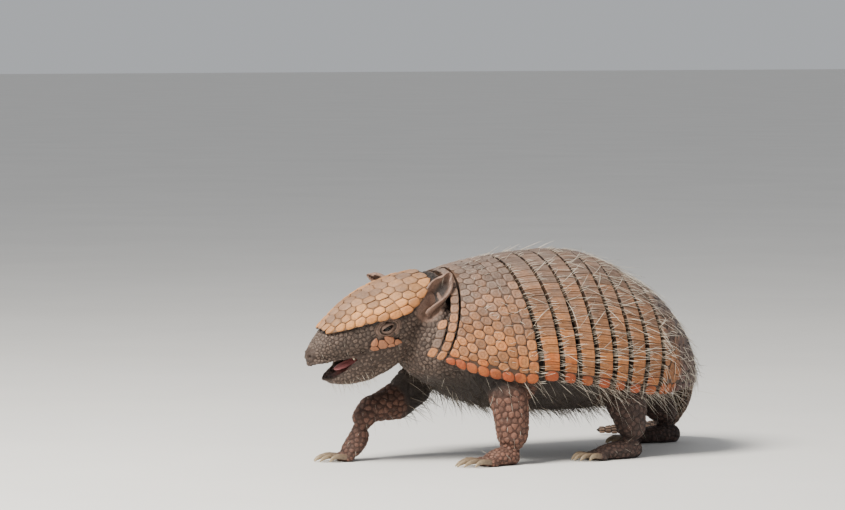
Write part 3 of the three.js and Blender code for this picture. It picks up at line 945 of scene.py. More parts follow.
def add_scutes(draft: Draft, patch: Patch, outlines: Array, relief: Relief, seed: int, flank: float = 0) -> None:
    """Adds many scutes to a piece, each a closed boss on its outline.

    Args:
        draft: The piece.
        patch: The surface that they lie on.
        outlines: Outlines in the patch's coordinates, by scute and point.
        relief: Their form.
        seed: Which random draws.
        flank: Added to how far down the flank a scute counts as lying.
    """
    rng = np.random.default_rng(seed)
    scutes, count = outlines.shape[:2]
    centre = outlines.mean(1)
    middle = centre[:, None, None]
    zero = np.zeros((scutes, count))
    reach = patch.at(outlines[..., 0], outlines[..., 1], zero) - patch.at(*centre.T, zero[:, 0])[:, None]
    inset, share, lift, edge = np.array(relief.rings).T
    scale = share * (1 - inset / np.linalg.norm(reach, axis=2).mean(1)[:, None])
    spokes = outlines[:, None] - middle
    rings = middle + spokes * scale[..., None, None]
    leaning = rng.normal(0, relief.tilt, (scutes, 2))[:, None, None]
    wide = np.abs(spokes[:, 0]).max(1)[:, None, None]
    tilt = np.sum(leaning * (rings - middle) / wide, axis=-1)
    lifts = lift[:, None] + tilt * (lift > -1.5)[:, None]
    lifts = lifts + rng.normal(0, 0.05, rings.shape[:3]) * (edge > 0.5)[:, None]
    points = patch.at(rings[..., 0], rings[..., 1], lifts).reshape(scutes, -1, 3)
    tips = patch.at(*centre.T, np.full(scutes, relief.centre))
    shares = np.append(np.repeat(1 - 0.8 * np.arange(len(edge)) / len(edge), count), 0)
    walk = np.concatenate([np.tile(spokes[:, 0], (1, len(edge), 1)), spokes[:, 0, :1]], axis=1)
    place = centre[:, None] + walk * shares[:, None]
    draft.add(np.concatenate([points, tips[:, None]], axis=1), boss_faces(scutes, len(edge), count),
              bake_place(place[..., 0], place[..., 1]), 1, tone=rng.uniform(0, 1, scutes)[:, None],
              edge=np.append(np.repeat(edge, count), 0.9), flank=(np.abs(centre[:, 1] * 2 - 1) + flank)[:, None])


GROOVE = 0.16
BAR_ALONG = np.array([0, 0.035, 0.13, 0.5, 0.87, 0.965, 1])
BAR_ENDS = np.array([-0.6, 0.05, 0.2, 0.22, 0.28, 0.22, -0.5])
BAR_DEPTH = np.array([0, 0.3, 1, 1, 1, 0.5, 0])
BAR_END_EDGE = np.array([0, 0.7, 1, 1, 1, 0.8, 0.1])
BAR_ACROSS = np.array([0, 0.07, 0.2, 0.28, 0.36, 0.64, 0.72, 0.8, 0.93, 1])
BAR_CROWN = np.array([-0.6, 0.12, 0.26, -0.22, 0.34, 0.34, -0.22, 0.26, 0.12, -0.6])
BAR_EDGE = np.array([0, 0.6, 0.95, GROOVE, 1, 1, GROOVE, 0.95, 0.6, 0])


def add_bars(draft: Draft, patch: Patch, corners: Array, seed: int) -> None:
    """Adds many oblong scutes, each with two grooves along it.

    Args:
        draft: The piece.
        patch: The surface that they lie on.
        corners: For each scute its first and last place along, and its first and last across.
        seed: Which random draws.
    """
    rng = np.random.default_rng(seed)
    scutes, shape = len(corners), (len(BAR_ALONG), len(BAR_ACROSS))
    first, last, left, right = corners.T[..., None]
    stray = rng.normal(0, 0.02, (scutes, 1)) * np.sin(np.pi * BAR_ACROSS)
    u, v = first + (last - first) * BAR_ALONG, left + (right - left) * (BAR_ACROSS + stray)
    u, v = np.broadcast_arrays(u[:, :, None], v[:, None])
    depth = rng.uniform(0.5, 1.3, (scutes, 1, 1)) * BAR_DEPTH[:, None]
    crown = np.where(BAR_EDGE == GROOVE, 0.25 + (BAR_CROWN - 0.25) * depth, BAR_CROWN)
    slope = rng.normal(0, 0.16, (scutes, 1, 1)) * (BAR_ACROSS * 2 - 1)
    slope = slope + rng.normal(0, 0.14, (scutes, 1, 1)) * (BAR_ALONG * 2 - 1)[:, None]
    lifts = np.minimum(BAR_ENDS[:, None], crown) + slope + rng.normal(0, 0.04, u.shape)
    top = patch.at(u, v, lifts).reshape(scutes, -1, 3)
    rim = rim_of(*shape)
    place = np.stack([u, v], axis=-1).reshape(scutes, -1, 2)
    foot = patch.at(place[:, rim, 0], place[:, rim, 1], np.full((scutes, len(rim)), -1.7))
    points = np.concatenate([top, foot], axis=1)
    start = (np.arange(scutes) * points.shape[1])[:, None, None]
    low = shape[0] * shape[1] + np.arange(len(rim))
    wall = np.stack([rim, low, np.roll(low, -1), np.roll(rim, -1)], -1)
    edge = np.append(np.minimum(BAR_EDGE, BAR_END_EDGE[:, None]), np.zeros(len(rim)))
    middle = place.mean(1, keepdims=True)
    place = np.concatenate([middle + (place - middle) * 0.92, place[:, rim]], axis=1)
    draft.add(points, [grid_faces(*shape) + start, wall + start, low[None] + start],
              bake_place(place[..., 0], place[..., 1]), 1, tone=rng.uniform(0, 1, scutes)[:, None],
              edge=edge, flank=np.abs(corners[:, 2:].mean(1) * 2 - 1)[:, None])


def honeycomb(columns: int, rows: int, jitter: float, seed: int) -> list[Array]:
    """Six-sided cells in staggered columns, in the unit of a cell.

    Args:
        columns: Cells along.
        rows: Cells across.
        jitter: How far seeds stray.
        seed: Which random draws.

    Returns:
        The cells' corners.
    """
    rng = np.random.default_rng(seed)
    places = product(range(-1, columns + 1), range(-1, rows + 1))
    seeds = np.array([(c + 0.5, r + (0.25 if c % 2 else 0.75)) for c, r in places])
    inner = (seeds.min(1) > 0) & (seeds[:, 0] < columns) & (seeds[:, 1] < rows)
    seeds[inner] += rng.uniform(-jitter, jitter, (inner.sum(), 2))
    cells = []
    for i in np.flatnonzero(inner):
        near = np.flatnonzero(np.linalg.norm(seeds - seeds[i], axis=1) < 2.3)
        cells.append(cell(seeds[i], seeds[near[near != i]], box_cell(0, columns, 0, rows)))
    return [c for c in cells if len(c) > 2]


def box_cell(first: float, last: float, low: float, high: float) -> Array:
    """The corners of an oblong cell."""
    return np.array([(first, low), (last, low), (last, high), (first, high)], float)


def area(polygon: Array) -> float:
    """A polygon's area."""
    x, y = polygon.T
    return abs(np.dot(x, np.roll(y, 1)) - np.dot(y, np.roll(x, 1))) / 2


@dataclass
class ShieldLayout:
    """Cuts a shield into scutes: columns of even pitch from its straight edge, and rows across.

    The columns run out where the shield's other edge crosses them. The first few columns and
    the row along either margin are oblong, and the rest are six-sided.
    """

    patch: Patch
    pitch: float
    rows: int
    straight: int
    from_rear: bool
    seed: int
    margin: float = 1.0
    wide: float = 1.22
    jitter: float = 0.1
    points: int = 12

    def columns(self, across: Array, pitch: float) -> int:
        """How many columns of a pitch the shield's longest of some lines holds."""
        return math.ceil(self.lengths(across).max() / pitch)

    def lengths(self, across: Array) -> Array:
        """The shield's length at places across it."""
        return self.patch.lengths(np.linspace(0, 1, 16), across, 0)

    def outlines(self, cells: Sequence[Array], rounding: float) -> Array:
        """Trims cells to the shield and brings them to its coordinates.

        Args:
            cells: Corners, in the unit of a cell.
            rounding: How far the corners are drawn in.

        Returns:
            The outlines.
        """
        across = np.linspace(0, 1, 81)
        limits = self.lengths(across) / self.pitch
        found = []
        for corners in cells:
            row = corners[:, 1].mean()
            limit, beyond = np.interp([row / self.rows, (row + 0.5) / self.rows], across, limits)
            normal = np.array([1, -(beyond - limit) * 2])
            kept = clip(corners, normal, normal @ (limit, row))
            if len(kept) > 2 and area(kept) > 0.3:
                rounded = outline(kept, self.points, rounding)
                share = rounded[:, 1] / self.rows
                along = rounded[:, 0] / np.interp(share, across, limits)
                found.append(np.stack([1 - along if self.from_rear else along, share], axis=1))
        return np.clip(np.array(found), 0, 1)

    def inner(self) -> Array:
        """Cuts all scutes but the margin's.

        Returns:
            Their outlines.
        """
        low, high = self.margin, self.rows - self.margin
        rows = int(high - low)
        most = self.columns(np.linspace(0, 1, 41), self.pitch)
        cells = [c + (self.straight, low) for c in honeycomb(most - self.straight, rows, self.jitter, self.seed)]
        for column in range(self.straight):
            edges = np.linspace(low, high, rows + 1) + (0.5 if column % 2 else 0)
            if column % 2:
                cells.append(box_cell(column, column + 1, low, low + 0.5))
            cells += [box_cell(column, column + 1, a, min(a + 1, high)) for a in edges if a < high - 0.2]
        return self.outlines(cells, 0.16)

    def margins(self) -> Array:
        """Cuts the margins' scutes.

        Returns:
            Their outlines.
        """
        most = math.ceil(self.lengths(np.array([0.0, 1.0])).max() / self.pitch / self.wide)
        places = product(range(most), (0, self.rows - self.margin))
        cells = [box_cell(c * self.wide, (c + 1) * self.wide, low, low + self.margin) for c, low in places]
        return self.outlines(cells, 0.22)


@dataclass
class Shell:
    """The horny plates of the trunk: nuchal rows, two shields and seven movable bands."""

    scute: float = 9.2
    bar: float = 8.0
    end_scute: float = 10.5
    nuchal_scute: float = 9.5
    pelvic_scute: float = 9.4
    under: float = -0.55

    def patch(self, name: str) -> Patch:
        """The surface of a plate.

        Args:
            name: The plate's name.

        Returns:
            Its patch.
        """
        if name == "scapular_shield":
            return HoopPatch(front_edge(0), band_edge(BAND_EDGES[0], -1))
        if name == "nuchal_band":
            return HoopPatch(front_edge(NUCHAL_PITCH - 1.5), front_edge(1.5))
        if name.startswith("nuchal_row"):
            sides = (-1, -1e-4) if name.endswith("left") else (1e-4, 1)
            return HoopPatch(front_edge(2 * NUCHAL_PITCH - 2.5), front_edge(NUCHAL_PITCH), sides, NUCHAL_SIDE_START)
        if name == "pelvic_shield":
            return RumpPatch()
        i = int(name[-1])
        return HoopPatch(band_edge(BAND_EDGES[i - 1], 1), band_edge(BAND_EDGES[i], -1))

    def width(self, patch: Patch) -> float:
        """A plate's length across, margin to margin."""
        return float(patch.lengths(np.array([0.5]), np.linspace(0, 1, 60), 1)[0])

    def shield(self, draft: Draft, patch: Patch, pitch: float, straight: int, from_rear: bool, seed: int) -> None:
        """Adds a shield's scutes.

        Args:
            draft: The piece.
            patch: The shield's surface.
            pitch: The size of a scute.
            straight: How many columns are oblong.
            from_rear: Whether the straight edge is the rear one.
            seed: Which random draws.
        """
        layout = ShieldLayout(patch, pitch, round(self.width(patch) / pitch), straight, from_rear, seed)
        add_scutes(draft, patch, layout.inner(), PLAIN_RELIEF, seed)
        add_scutes(draft, patch, layout.margins(), MARGIN_RELIEF, seed + 1, flank=0.12)

    def row(self, draft: Draft, patch: Patch, seed: int) -> None:
        """Adds one row of squarish scutes.

        Args:
            draft: The piece.
            patch: The row's surface.
            seed: Which random draws.
        """
        count = max(2, round(self.width(patch) / self.nuchal_scute))
        outlines = [outline(box_cell(0, 1, r, r + 1), 12, 0.16) / (1, count) for r in range(count)]
        add_scutes(draft, patch, np.array(outlines), PLAIN_RELIEF, seed)

    def band(self, draft: Draft, patch: Patch, seed: int) -> None:
        """Adds a movable band's oblong scutes and its rounded end scutes.

        Args:
            draft: The piece.
            patch: The band's surface.
            seed: Which random draws.
        """
        width = self.width(patch)
        end = self.end_scute / width
        count = round((width - 2 * self.end_scute) / self.bar)
        edges = np.linspace(end, 1 - end, count + 1)
        add_bars(draft, patch, np.stack([np.zeros(count), np.ones(count), edges[:-1], edges[1:]], axis=1), seed)
        turn = around(14)
        oval = np.stack([squared(np.cos(turn), 0.75), squared(np.sin(turn), 0.75)], axis=1) * 0.5 + 0.5
        ends = np.array([oval * (0.96, end * 0.98) + (0.02, low) for low in (0, 1 - end)])
        add_scutes(draft, patch, ends, MARGIN_RELIEF, seed + 1, flank=0.18)

    def build(self, material: bpy.types.Material) -> None:
        """Builds and dresses every plate.

        Args:
            material: The horn.
        """
        names = ["nuchal_row_left", "nuchal_row_right", "nuchal_band", "scapular_shield", "pelvic_shield"]
        names += [f"band_{i}" for i in range(1, len(BAND_EDGES))]
        for k, name in enumerate(names):
            draft, patch, seed = Draft(*HORN_VALUES), self.patch(name), 10 * k
            is_shield = "shield" in name
            steps = (24 if is_shield else 5, 18 if "row" in name else 110)
            add_sheet(draft, patch, steps, (self.under, -PLATE), (0.004 if is_shield else 0.03, 0.004))
            if name == "scapular_shield":
                self.shield(draft, patch, self.scute, 2, True, seed)
            elif name == "pelvic_shield":
                self.shield(draft, patch, self.pelvic_scute, 1, False, seed)
            elif name.startswith("nuchal"):
                self.row(draft, patch, seed)
            else:
                self.band(draft, patch, seed)
            draft.finish(f"horn_{name}", material, "shell", name, sharp=SHARP)


@dataclass
class HeadShield:
    """The plate of many-sided scutes on the crown, from between the ears to the snout, and the cheeks'."""

    rear_scute: float = 12.0
    front_scute: float = 7.5
    jitter: float = 0.13
    columns: int = 4
    rows: int = 2
    seed: int = 400

    def cells(self, patch: HeadPatch) -> list[Array]:
        """Cuts the shield's cells.

        Args:
            patch: Its surface.

        Returns:
            Their corners, in millimetres along the head and from its middle line.
        """
        rng = np.random.default_rng(self.seed)
        starts = [0.0]
        while starts[-1] < SHIELD_LENGTH - self.front_scute * 0.6:
            share = starts[-1] / SHIELD_LENGTH
            starts.append(starts[-1] + self.rear_scute + (self.front_scute - self.rear_scute) * share)
        starts = np.array(starts) * SHIELD_LENGTH / starts[-1]
        middles, pitches = (starts[1:] + starts[:-1]) / 2, np.diff(starts)
        half = patch.half_length(middles / SHIELD_LENGTH)
        seeds, inner = [], []
        for k, (middle, pitch, width) in enumerate(zip(middles, pitches, half)):
            count = max(2, round(2 * width / pitch * 0.95))
            count += (count + k) % 2
            for j in range(-1, count + 1):
                inner.append(0 <= j < count)
                stray = rng.uniform(-self.jitter, self.jitter, 2) * pitch * inner[-1]
                seeds.append(np.array([middle, -width + (j + 0.5) * (2 * width / count)]) + stray)
        for end, edge in ((0, 0), (-1, SHIELD_LENGTH)):
            for offset in np.arange(-half[end], half[end], pitches[end] * 0.9):
                seeds.append(np.array([2 * edge - middles[end], offset]))
                inner.append(False)
        seeds, found = np.array(seeds), []
        for i in np.flatnonzero(inner):
            near = np.flatnonzero(np.linalg.norm(seeds - seeds[i], axis=1) < 30)
            found.append(cell(seeds[i], seeds[near[near != i]], seeds[i] + box_cell(-14, 14, -14, 14)))
        return [c for c in found if len(c) > 2]

    def build(self, material: bpy.types.Material) -> None:
        """Builds and dresses the shield.

        Args:
            material: The horn.
        """
        patch, draft, outlines = HeadPatch(), Draft(*HORN_VALUES), []
        add_sheet(draft, patch, (44, 48), (-0.5, -2.6), (0.012, 0.012))
        for corners in self.cells(patch):
            points = outline(corners, 14, 0.12)
            along = np.clip(points[:, 0] / SHIELD_LENGTH, 0, 1)
            across = 0.5 + points[:, 1] / patch.half_length(along) / 2
            outlines.append(np.stack([along, np.clip(across, 0, 1)], axis=1))
        add_scutes(draft, patch, np.array(outlines), HEAD_RELIEF, self.seed + 1)
        draft.finish("horn_head_shield", material, "head_scutes", "head_shield", sharp=SHARP)
        self.cheeks(material)

    def cheeks(self, material: bpy.types.Material) -> None:
        """Builds the ovals of scutes under the eyes.

        Args:
            material: The horn.
        """
        size, found = np.array([self.columns, self.rows]), []
        for corners in honeycomb(*size, 0.14, self.seed + 2):
            for turn in around(16):
                way = np.array([math.cos(turn), math.sin(turn)])
                normal = way / size
                corners = clip(corners, normal, normal @ ((1 + way) * size / 2)) if len(corners) > 2 else corners
            if len(corners) > 2 and area(corners) > 0.12:
                found.append(outline(corners, 12, 0.12) / (self.columns, 2 * self.rows))
        draft, left = Draft(*HORN_VALUES), np.array(found)
        outlines = np.concatenate([left, left + (0, 0.5)])
        add_scutes(draft, CheekPatch(), outlines, HEAD_RELIEF, self.seed + 3, 1.2)
        draft.finish("horn_cheeks", material, "head_scutes", sharp=SHARP)


@dataclass
class TailArmour:
    """The tail's rings of small scutes, from the shell to the tip."""

    rings: int = 30
    most: int = 14
    fewer: int = 7
    stretch: float = 6.0
    seed: int = 500

    def build(self, material: bpy.types.Material) -> None:
        """Builds and dresses the tail.

        Args:
            material: The horn.
        """
        patch, draft = TubePatch(TAIL_PATH, TAIL_RADIUS), Draft(*HORN_VALUES)
        along, across = np.linspace(0, 1, 90)[:, None], np.arange(28)[None] / 28
        lift = -0.5 - 2 * fade(along, 0.985, 1)
        add_tube(draft, patch.at(along, across, lift + np.zeros((90, 28))), 1, tone=0.5, edge=0, flank=0.7)
        places = np.linspace(0.0, 0.985, self.rings + 1) ** 0.93
        for k in range(self.rings):
            count, outlines = self.most - round(self.fewer * k / self.rings), []
            for j in range(count):
                low = j + 0.5 * (k % 2)
                box = box_cell(places[k], places[k + 1], low / count, (low + 1) / count)
                long = outline((box - box.mean(0)) * (1, self.stretch), 10, 0.22)
                outlines.append(long * (1, 1 / self.stretch) + box.mean(0))
            add_scutes(draft, patch, np.array(outlines), PLAIN_RELIEF, self.seed + k, flank=0.3)
        draft.finish("horn_tail", material, "shell", "tail_1", "tail_2", "tail_3", sharp=SHARP)


# ---- finishes

WHITE = (1.0, 1.0, 1.0)
COLOUR_SOCKET, VALUE_SOCKET = "NodeSocketColor", "NodeSocketFloat"
RAMP_SHARE = 0.8


class Wiring:
    """A node tree, with short ways to add to it."""

    def __init__(self, tree: bpy.types.NodeTree) -> None:
        """Takes the tree that is added to."""
        self.tree = tree

    def feed(self, socket: bpy.types.NodeSocket, value: object) -> None:
        """Links an input to another node's output, or sets its value."""
        if isinstance(value, bpy.types.NodeSocket):
            self.tree.links.new(value, socket)
        else:
            socket.default_value = (*value, 1) if socket.type == "RGBA" else value

    def put(self, kind: str, inputs: dict | None = None, **settings: object) -> bpy.types.Node:
        """Adds a node.

        Args:
            kind: The node's type, without its ShaderNode prefix.
            inputs: Values or sockets for its inputs, by name or number.
            **settings: The node's own settings.

        Returns:
            The node.
        """
        node = self.tree.nodes.new(kind if kind.startswith("Node") else "ShaderNode" + kind)
        for key, value in settings.items():
            setattr(node, key, value)
        for key, value in (inputs or {}).items():
            self.feed(node.inputs[key], value)
        return node

    def blend(self, share: object, first: object, second: object, way: str = "MIX") -> object:
        """A colour between two, or one laid on another.

        Args:
            share: How much of the second, a number or a socket.
            first: The first colour.
            second: The second colour.
            way: The blend type.

        Returns:
            The colour's socket.
        """
        return self.put("Mix", {0: share, 6: first, 7: second}, data_type="RGBA", blend_type=way).outputs[2]

    def spread(self, value: object, low: float, high: float, start: float = 0.0, end: float = 1.0) -> object:
        """A value brought softly from one range to another, and kept inside it."""
        inputs = {"Value": value, "From Min": low, "From Max": high, "To Min": start, "To Max": end}
        return self.put("MapRange", inputs, interpolation_type="SMOOTHSTEP").outputs["Result"]

    def math(self, way: str, first: object, second: object) -> object:
        """Two values put together by a Math node."""
        return self.put("Math", {0: first, 1: second}, operation=way).outputs[0]

    def carried(self, name: str) -> object:
        """A value that the mesh's points carry."""
        return self.put("Attribute", attribute_name=name, attribute_type="GEOMETRY").outputs["Fac"]

    def place(self) -> object:
        """The place on the piece."""
        return self.put("TexCoord").outputs["Object"]

    def noise(self, place: object, scale: object, detail: float, roughness: float = 0.5) -> bpy.types.Node:
        """A noise's node."""
        return self.put("TexNoise", {"Vector": place, "Scale": scale, "Detail": detail, "Roughness": roughness})

    def lighten(self, colour: object, value: object) -> object:
        """A colour made lighter or darker."""
        return self.put("HueSaturation", {"Color": colour, "Value": value}).outputs[0]

    def use(self, effect: "Effect", **inputs: object) -> bpy.types.Node:
        """Places one of the effects, whose node group is made on first use.

        Args:
            effect: The effect.
            **inputs: Values or sockets for its inputs.

        Returns:
            The group's node.
        """
        name, wire, defaults, leaving = effect.value
        group = bpy.data.node_groups.get(name)
        if group is None:
            group = bpy.data.node_groups.new(name, "ShaderNodeTree")
            for key, value in defaults.items():
                kind = COLOUR_SOCKET if isinstance(value, tuple) else VALUE_SOCKET
                socket = group.interface.new_socket(key, in_out="INPUT", socket_type=kind)
                socket.default_value = (*value, 1) if kind == COLOUR_SOCKET else value
            for key in leaving:
                kind = COLOUR_SOCKET if key == "Colour" else VALUE_SOCKET
                group.interface.new_socket(key, in_out="OUTPUT", socket_type=kind)
            inner = Wiring(group)
            entry, leave = inner.put("NodeGroupInput"), inner.put("NodeGroupOutput")
            for key, socket in wire(inner, dict(entry.outputs.items())).items():
                group.links.new(socket, leave.inputs[key])
        return self.put("Group", inputs, node_tree=group)

    def dress(self, colour: object, height: object, depth: float, roughness: object, specular: float = 0.5) -> None:
        """Wires colour, relief and roughness into the shader.

        Args:
            colour: The colour's socket.
            height: The relief's socket.
            depth: How deep the relief is, in metres.
            roughness: The roughness's socket.
            specular: How strongly the surface mirrors.
        """
        bump = self.put("Bump", {"Height": height, "Strength": 0.9, "Distance": depth})
        inputs = {"Base Color": colour, "Roughness": roughness, "Normal": bump.outputs["Normal"]}
        for key, value in {**inputs, "Specular IOR Level": specular}.items():
            self.feed(self.tree.nodes["Principled BSDF"].inputs[key], value)


def mottle(tree: Wiring, given: dict) -> dict:
    """Wires uneven lightness over a surface."""
    cloud = tree.noise(tree.place(), given["Scale"], 5.0, 0.62).outputs["Fac"]
    value = tree.put("MapRange", {
        "Value": cloud, "From Min": 0.3, "From Max": 0.7,
        "To Min": tree.math("SUBTRACT", 1.0, given["Amount"]), "To Max": tree.math("ADD", 1.0, given["Amount"]),
    })
    return {"Colour": tree.lighten(given["Colour"], value.outputs["Result"])}


def dust(tree: Wiring, given: dict) -> dict:
    """Wires pale soil that lies in patches where a surface looks up."""
    cloud = tree.noise(tree.place(), 75.0, 6.0, 0.7).outputs["Fac"]
    normal = tree.put("SeparateXYZ", {0: tree.put("NewGeometry").outputs["Normal"]})
    up = tree.spread(normal.outputs["Z"], -0.2, 1.0, 0.12, 1.0)
    share = tree.math("MULTIPLY", up, tree.spread(cloud, 0.42, 0.66, 0.25, 1.0))
    return {"Colour": tree.blend(tree.math("MULTIPLY", share, given["Amount"]), given["Colour"], given["Dust"])}


def grain(tree: Wiring, given: dict) -> dict:
    """Wires fine horn grain: fibres, small pits and scratches."""
    place, scale = tree.place(), given["Scale"]
    fine = tree.noise(place, scale, 6.0, 0.7).outputs["Fac"]
    pits = tree.put("TexVoronoi", {"Vector": place, "Scale": tree.math("MULTIPLY", scale, 0.3)}, feature="F1")
    height = tree.math("ADD", fine, tree.spread(pits.outputs["Distance"], 0.0, 0.45, 0.0, 0.55))
    return {"Height": height, "Mask": tree.spread(fine, 0.35, 0.65)}


def creases(tree: Wiring, given: dict) -> dict:
    """Wires the net of fine creases and grains of bare hide."""
    place, scale = tree.place(), given["Scale"]
    bend = tree.noise(place, tree.math("MULTIPLY", scale, 0.5), 3.0)
    moved = tree.put("VectorMath", {0: bend.outputs["Color"], 1: (0.0022, 0.0022, 0.0022)}, operation="MULTIPLY")
    bent = tree.put("VectorMath", {0: place, 1: moved.outputs[0]}, operation="ADD").outputs[0]
    net = tree.put("TexVoronoi", {"Vector": bent, "Scale": scale}, feature="DISTANCE_TO_EDGE")
    ridge = tree.spread(net.outputs["Distance"], 0.0, 0.2)
    fine = tree.noise(place, tree.math("MULTIPLY", scale, 3.0), 5.0).outputs["Fac"]
    return {"Height": tree.math("ADD", ridge, tree.math("MULTIPLY", fine, 0.5)), "Mask": ridge}


class Effect(Enum):
    """The effects, each a node group: its name, what wires it, its inputs and its outputs."""

    MOTTLE = ("Mottle", mottle, {"Colour": WHITE, "Scale": 100.0, "Amount": 0.2}, ("Colour",))
    DUST = ("Dust", dust, {"Colour": WHITE, "Dust": WHITE, "Amount": 0.3}, ("Colour",))
    GRAIN = ("Grain", grain, {"Scale": 900.0}, ("Height", "Mask"))
    CREASES = ("Creases", creases, {"Scale": 400.0}, ("Height", "Mask"))


@dataclass(frozen=True)
class Surface:
    """What every finish has: a name and a material."""

    name: str

    def material(self) -> bpy.types.Material:
        """The material, made on first use."""
        made = bpy.data.materials.get(self.name)
        if made is None:
            made = bpy.data.materials.new(self.name)
            made.use_nodes = True
            self.wire(Wiring(made.node_tree))
        return made

    def wire(self, tree: Wiring) -> None:
        """Wires the material."""
        raise NotImplementedError


@dataclass(frozen=True)
class HornFinish(Surface):
    """Dusty horn, coloured from the crown to the margin, with dark seams and painted shade on the rump."""

    stops: tuple[tuple[float, Colour], ...]
    seam: Colour = (0.016, 0.009, 0.006)
    dust: Colour = (0.34, 0.28, 0.24)
    dusty: float = 0.26
    # rump: painted shade, the dark slate that the pelvic shield and the tail are darkened towards
    rump: Colour = (0.052, 0.044, 0.047)
    rump_shade_share: float = 0.88
    worn: Colour = (0.62, 0.5, 0.4)
    shine: float = 0.5

    def colour(self, tree: Wiring, tone: object, flank: object) -> object:
        """Wires the horn's clean colour, with painted shade over the rump.

        Args:
            tree: The material's tree.
            tone: The scute's own tone.
            flank: How far down the flank it lies.

        Returns:
            The colour's socket.
        """
        place = tree.place()
        cloud = tree.noise(place, 60.0, 3.0).outputs["Fac"]
        strayed = tree.math("ADD", flank, tree.spread(cloud, 0.3, 0.7, -0.1, 0.1))
        strayed = tree.math("ADD", strayed, tree.spread(tone, 0.0, 1.0, -0.055, 0.055))
        ramp = tree.put("ValToRGB", {"Fac": tree.math("MULTIPLY", strayed, RAMP_SHARE)})
        stops = ramp.color_ramp.elements
        while len(stops) < len(self.stops):
            stops.new(0.5)
        for stop, (position, colour) in zip(stops, self.stops):
            stop.position, stop.color = position * RAMP_SHARE, (*colour, 1)
        # Painted shade: from about 0.085 m back along x, the horn darkens towards the rump colour by the rump
        # share.
        x = tree.put("SeparateXYZ", {0: place}).outputs["X"]
        behind = tree.math("ADD", x, tree.spread(cloud, 0.3, 0.7, -0.02, 0.02))
        share = tree.math("MULTIPLY", tree.spread(behind, 0.085, 0.135), self.rump_shade_share)
        colour = tree.blend(share, ramp.outputs["Color"], self.rump)
        return tree.lighten(colour, tree.spread(tone, 0.0, 1.0, 0.78, 1.22))

    def wire(self, tree: Wiring) -> None:
        """Wires the material."""
        tone, edge, flank = (tree.carried(key) for key in HORN_VALUES)
        colour = self.colour(tree, tone, flank)
        colour = tree.use(Effect.MOTTLE, Colour=colour, Scale=420.0, Amount=0.26).outputs[0]
        colour = tree.use(Effect.DUST, Colour=colour, Dust=self.dust, Amount=self.dusty).outputs[0]
        fibre = tree.use(Effect.GRAIN, Scale=1100.0)
        mask = fibre.outputs["Mask"]
        colour = tree.blend(tree.math("MULTIPLY", mask, 0.3), colour, self.worn, "SOFT_LIGHT")
        colour = tree.blend(tree.spread(edge, 0.0, 0.42, 1.0, 0.0), colour, self.seam)
        rough = tree.spread(mask, 0.0, 1.0, self.shine, self.shine + 0.22)
        tree.dress(colour, fibre.outputs["Height"], 0.0004, rough, 0.42)


@dataclass(frozen=True)
class HideFinish(Surface):
    """Bare creased hide, whose colour depends on the part of the body and on painted shade."""

    # body: the trunk's hide under the shell, partly its own dark colour and partly painted shade.
    body: Colour = (0.028, 0.02, 0.017)
    parts: tuple[tuple[str, Colour], ...] = (
        ("neck", (0.125, 0.088, 0.07)), ("face", (0.138, 0.094, 0.072)), ("leg", (0.19, 0.082, 0.052)),
        ("ear", (0.3, 0.18, 0.13)), ("shade", (0.03, 0.022, 0.019)), ("wet", (0.34, 0.13, 0.11)),
    )
    crease: Colour = (0.4, 0.36, 0.34)
    dust: Colour = (0.28, 0.225, 0.185)
    dusty: float = 0.25

    def wire(self, tree: Wiring) -> None:
        """Wires the material."""
        colour = self.body
        for key, part in self.parts:
            colour = tree.blend(tree.carried(key), colour, part)
        colour = tree.lighten(colour, tree.spread(tree.carried("tone"), 0.0, 1.0, 0.7, 1.3))
        colour = tree.use(Effect.MOTTLE, Colour=colour, Scale=300.0, Amount=0.28).outputs[0]
        # Painted shade also keeps the dust off, so those places stay dark.
        dusty = tree.spread(tree.carried("shade"), 0.0, 1.0, self.dusty, 0.03)
        colour = tree.use(Effect.DUST, Colour=colour, Dust=self.dust, Amount=dusty).outputs[0]
        net = tree.use(Effect.CREASES, Scale=950.0)
        mask = net.outputs["Mask"]
        dark = tree.blend(1.0, colour, self.crease, "MULTIPLY")
        colour = tree.blend(tree.spread(mask, 0.0, 1.0, 0.6, 1.0), dark, colour)
        colour = tree.blend(tree.spread(tree.carried("edge"), 0.0, 0.8), dark, colour)
        tree.dress(colour, net.outputs["Height"], 0.00034, tree.spread(mask, 0.0, 1.0, 0.75, 0.55))


@dataclass(frozen=True)
class HairFinish(Surface):
    """Coarse hair, darker at its root, from dark to pale by the hair."""

    pale: Colour = (0.78, 0.7, 0.58)
    dark: Colour = (0.03, 0.02, 0.015)
    root: Colour = (0.5, 0.42, 0.36)

    def wire(self, tree: Wiring) -> None:
        """Wires the material."""
        colour = tree.blend(tree.carried("shade"), self.pale, self.dark)
        root = tree.blend(1.0, colour, self.root, "MULTIPLY")
        colour = tree.blend(tree.spread(tree.carried("flank"), 0.0, 0.45), root, colour)
        colour = tree.lighten(colour, tree.spread(tree.carried("tone"), 0.0, 1.0, 0.7, 1.2))
        fibre = tree.use(Effect.GRAIN, Scale=2500.0)
        rough = tree.spread(fibre.outputs["Mask"], 0.0, 1.0, 0.38, 0.6)
        tree.dress(colour, fibre.outputs["Height"], 0.00004, rough, 0.3)


@dataclass(frozen=True)
class MoistFinish(Surface):
    """A smooth moist surface of two colours, such as tongue, tooth or claw."""

    root: Colour
    tip: Colour
    rough: float
    relief: float
    scale: float = 900.0

    def wire(self, tree: Wiring) -> None:
        """Wires the material."""
        colour = tree.blend(tree.carried("flank"), self.root, self.tip)
        colour = tree.use(Effect.MOTTLE, Colour=colour, Scale=self.scale * 0.5, Amount=0.3).outputs[0]
        fine = tree.use(Effect.GRAIN, Scale=self.scale)
        rough = tree.spread(fine.outputs["Mask"], 0.0, 1.0, self.rough, self.rough + 0.2)
        tree.dress(colour, fine.outputs["Height"], self.relief, rough)


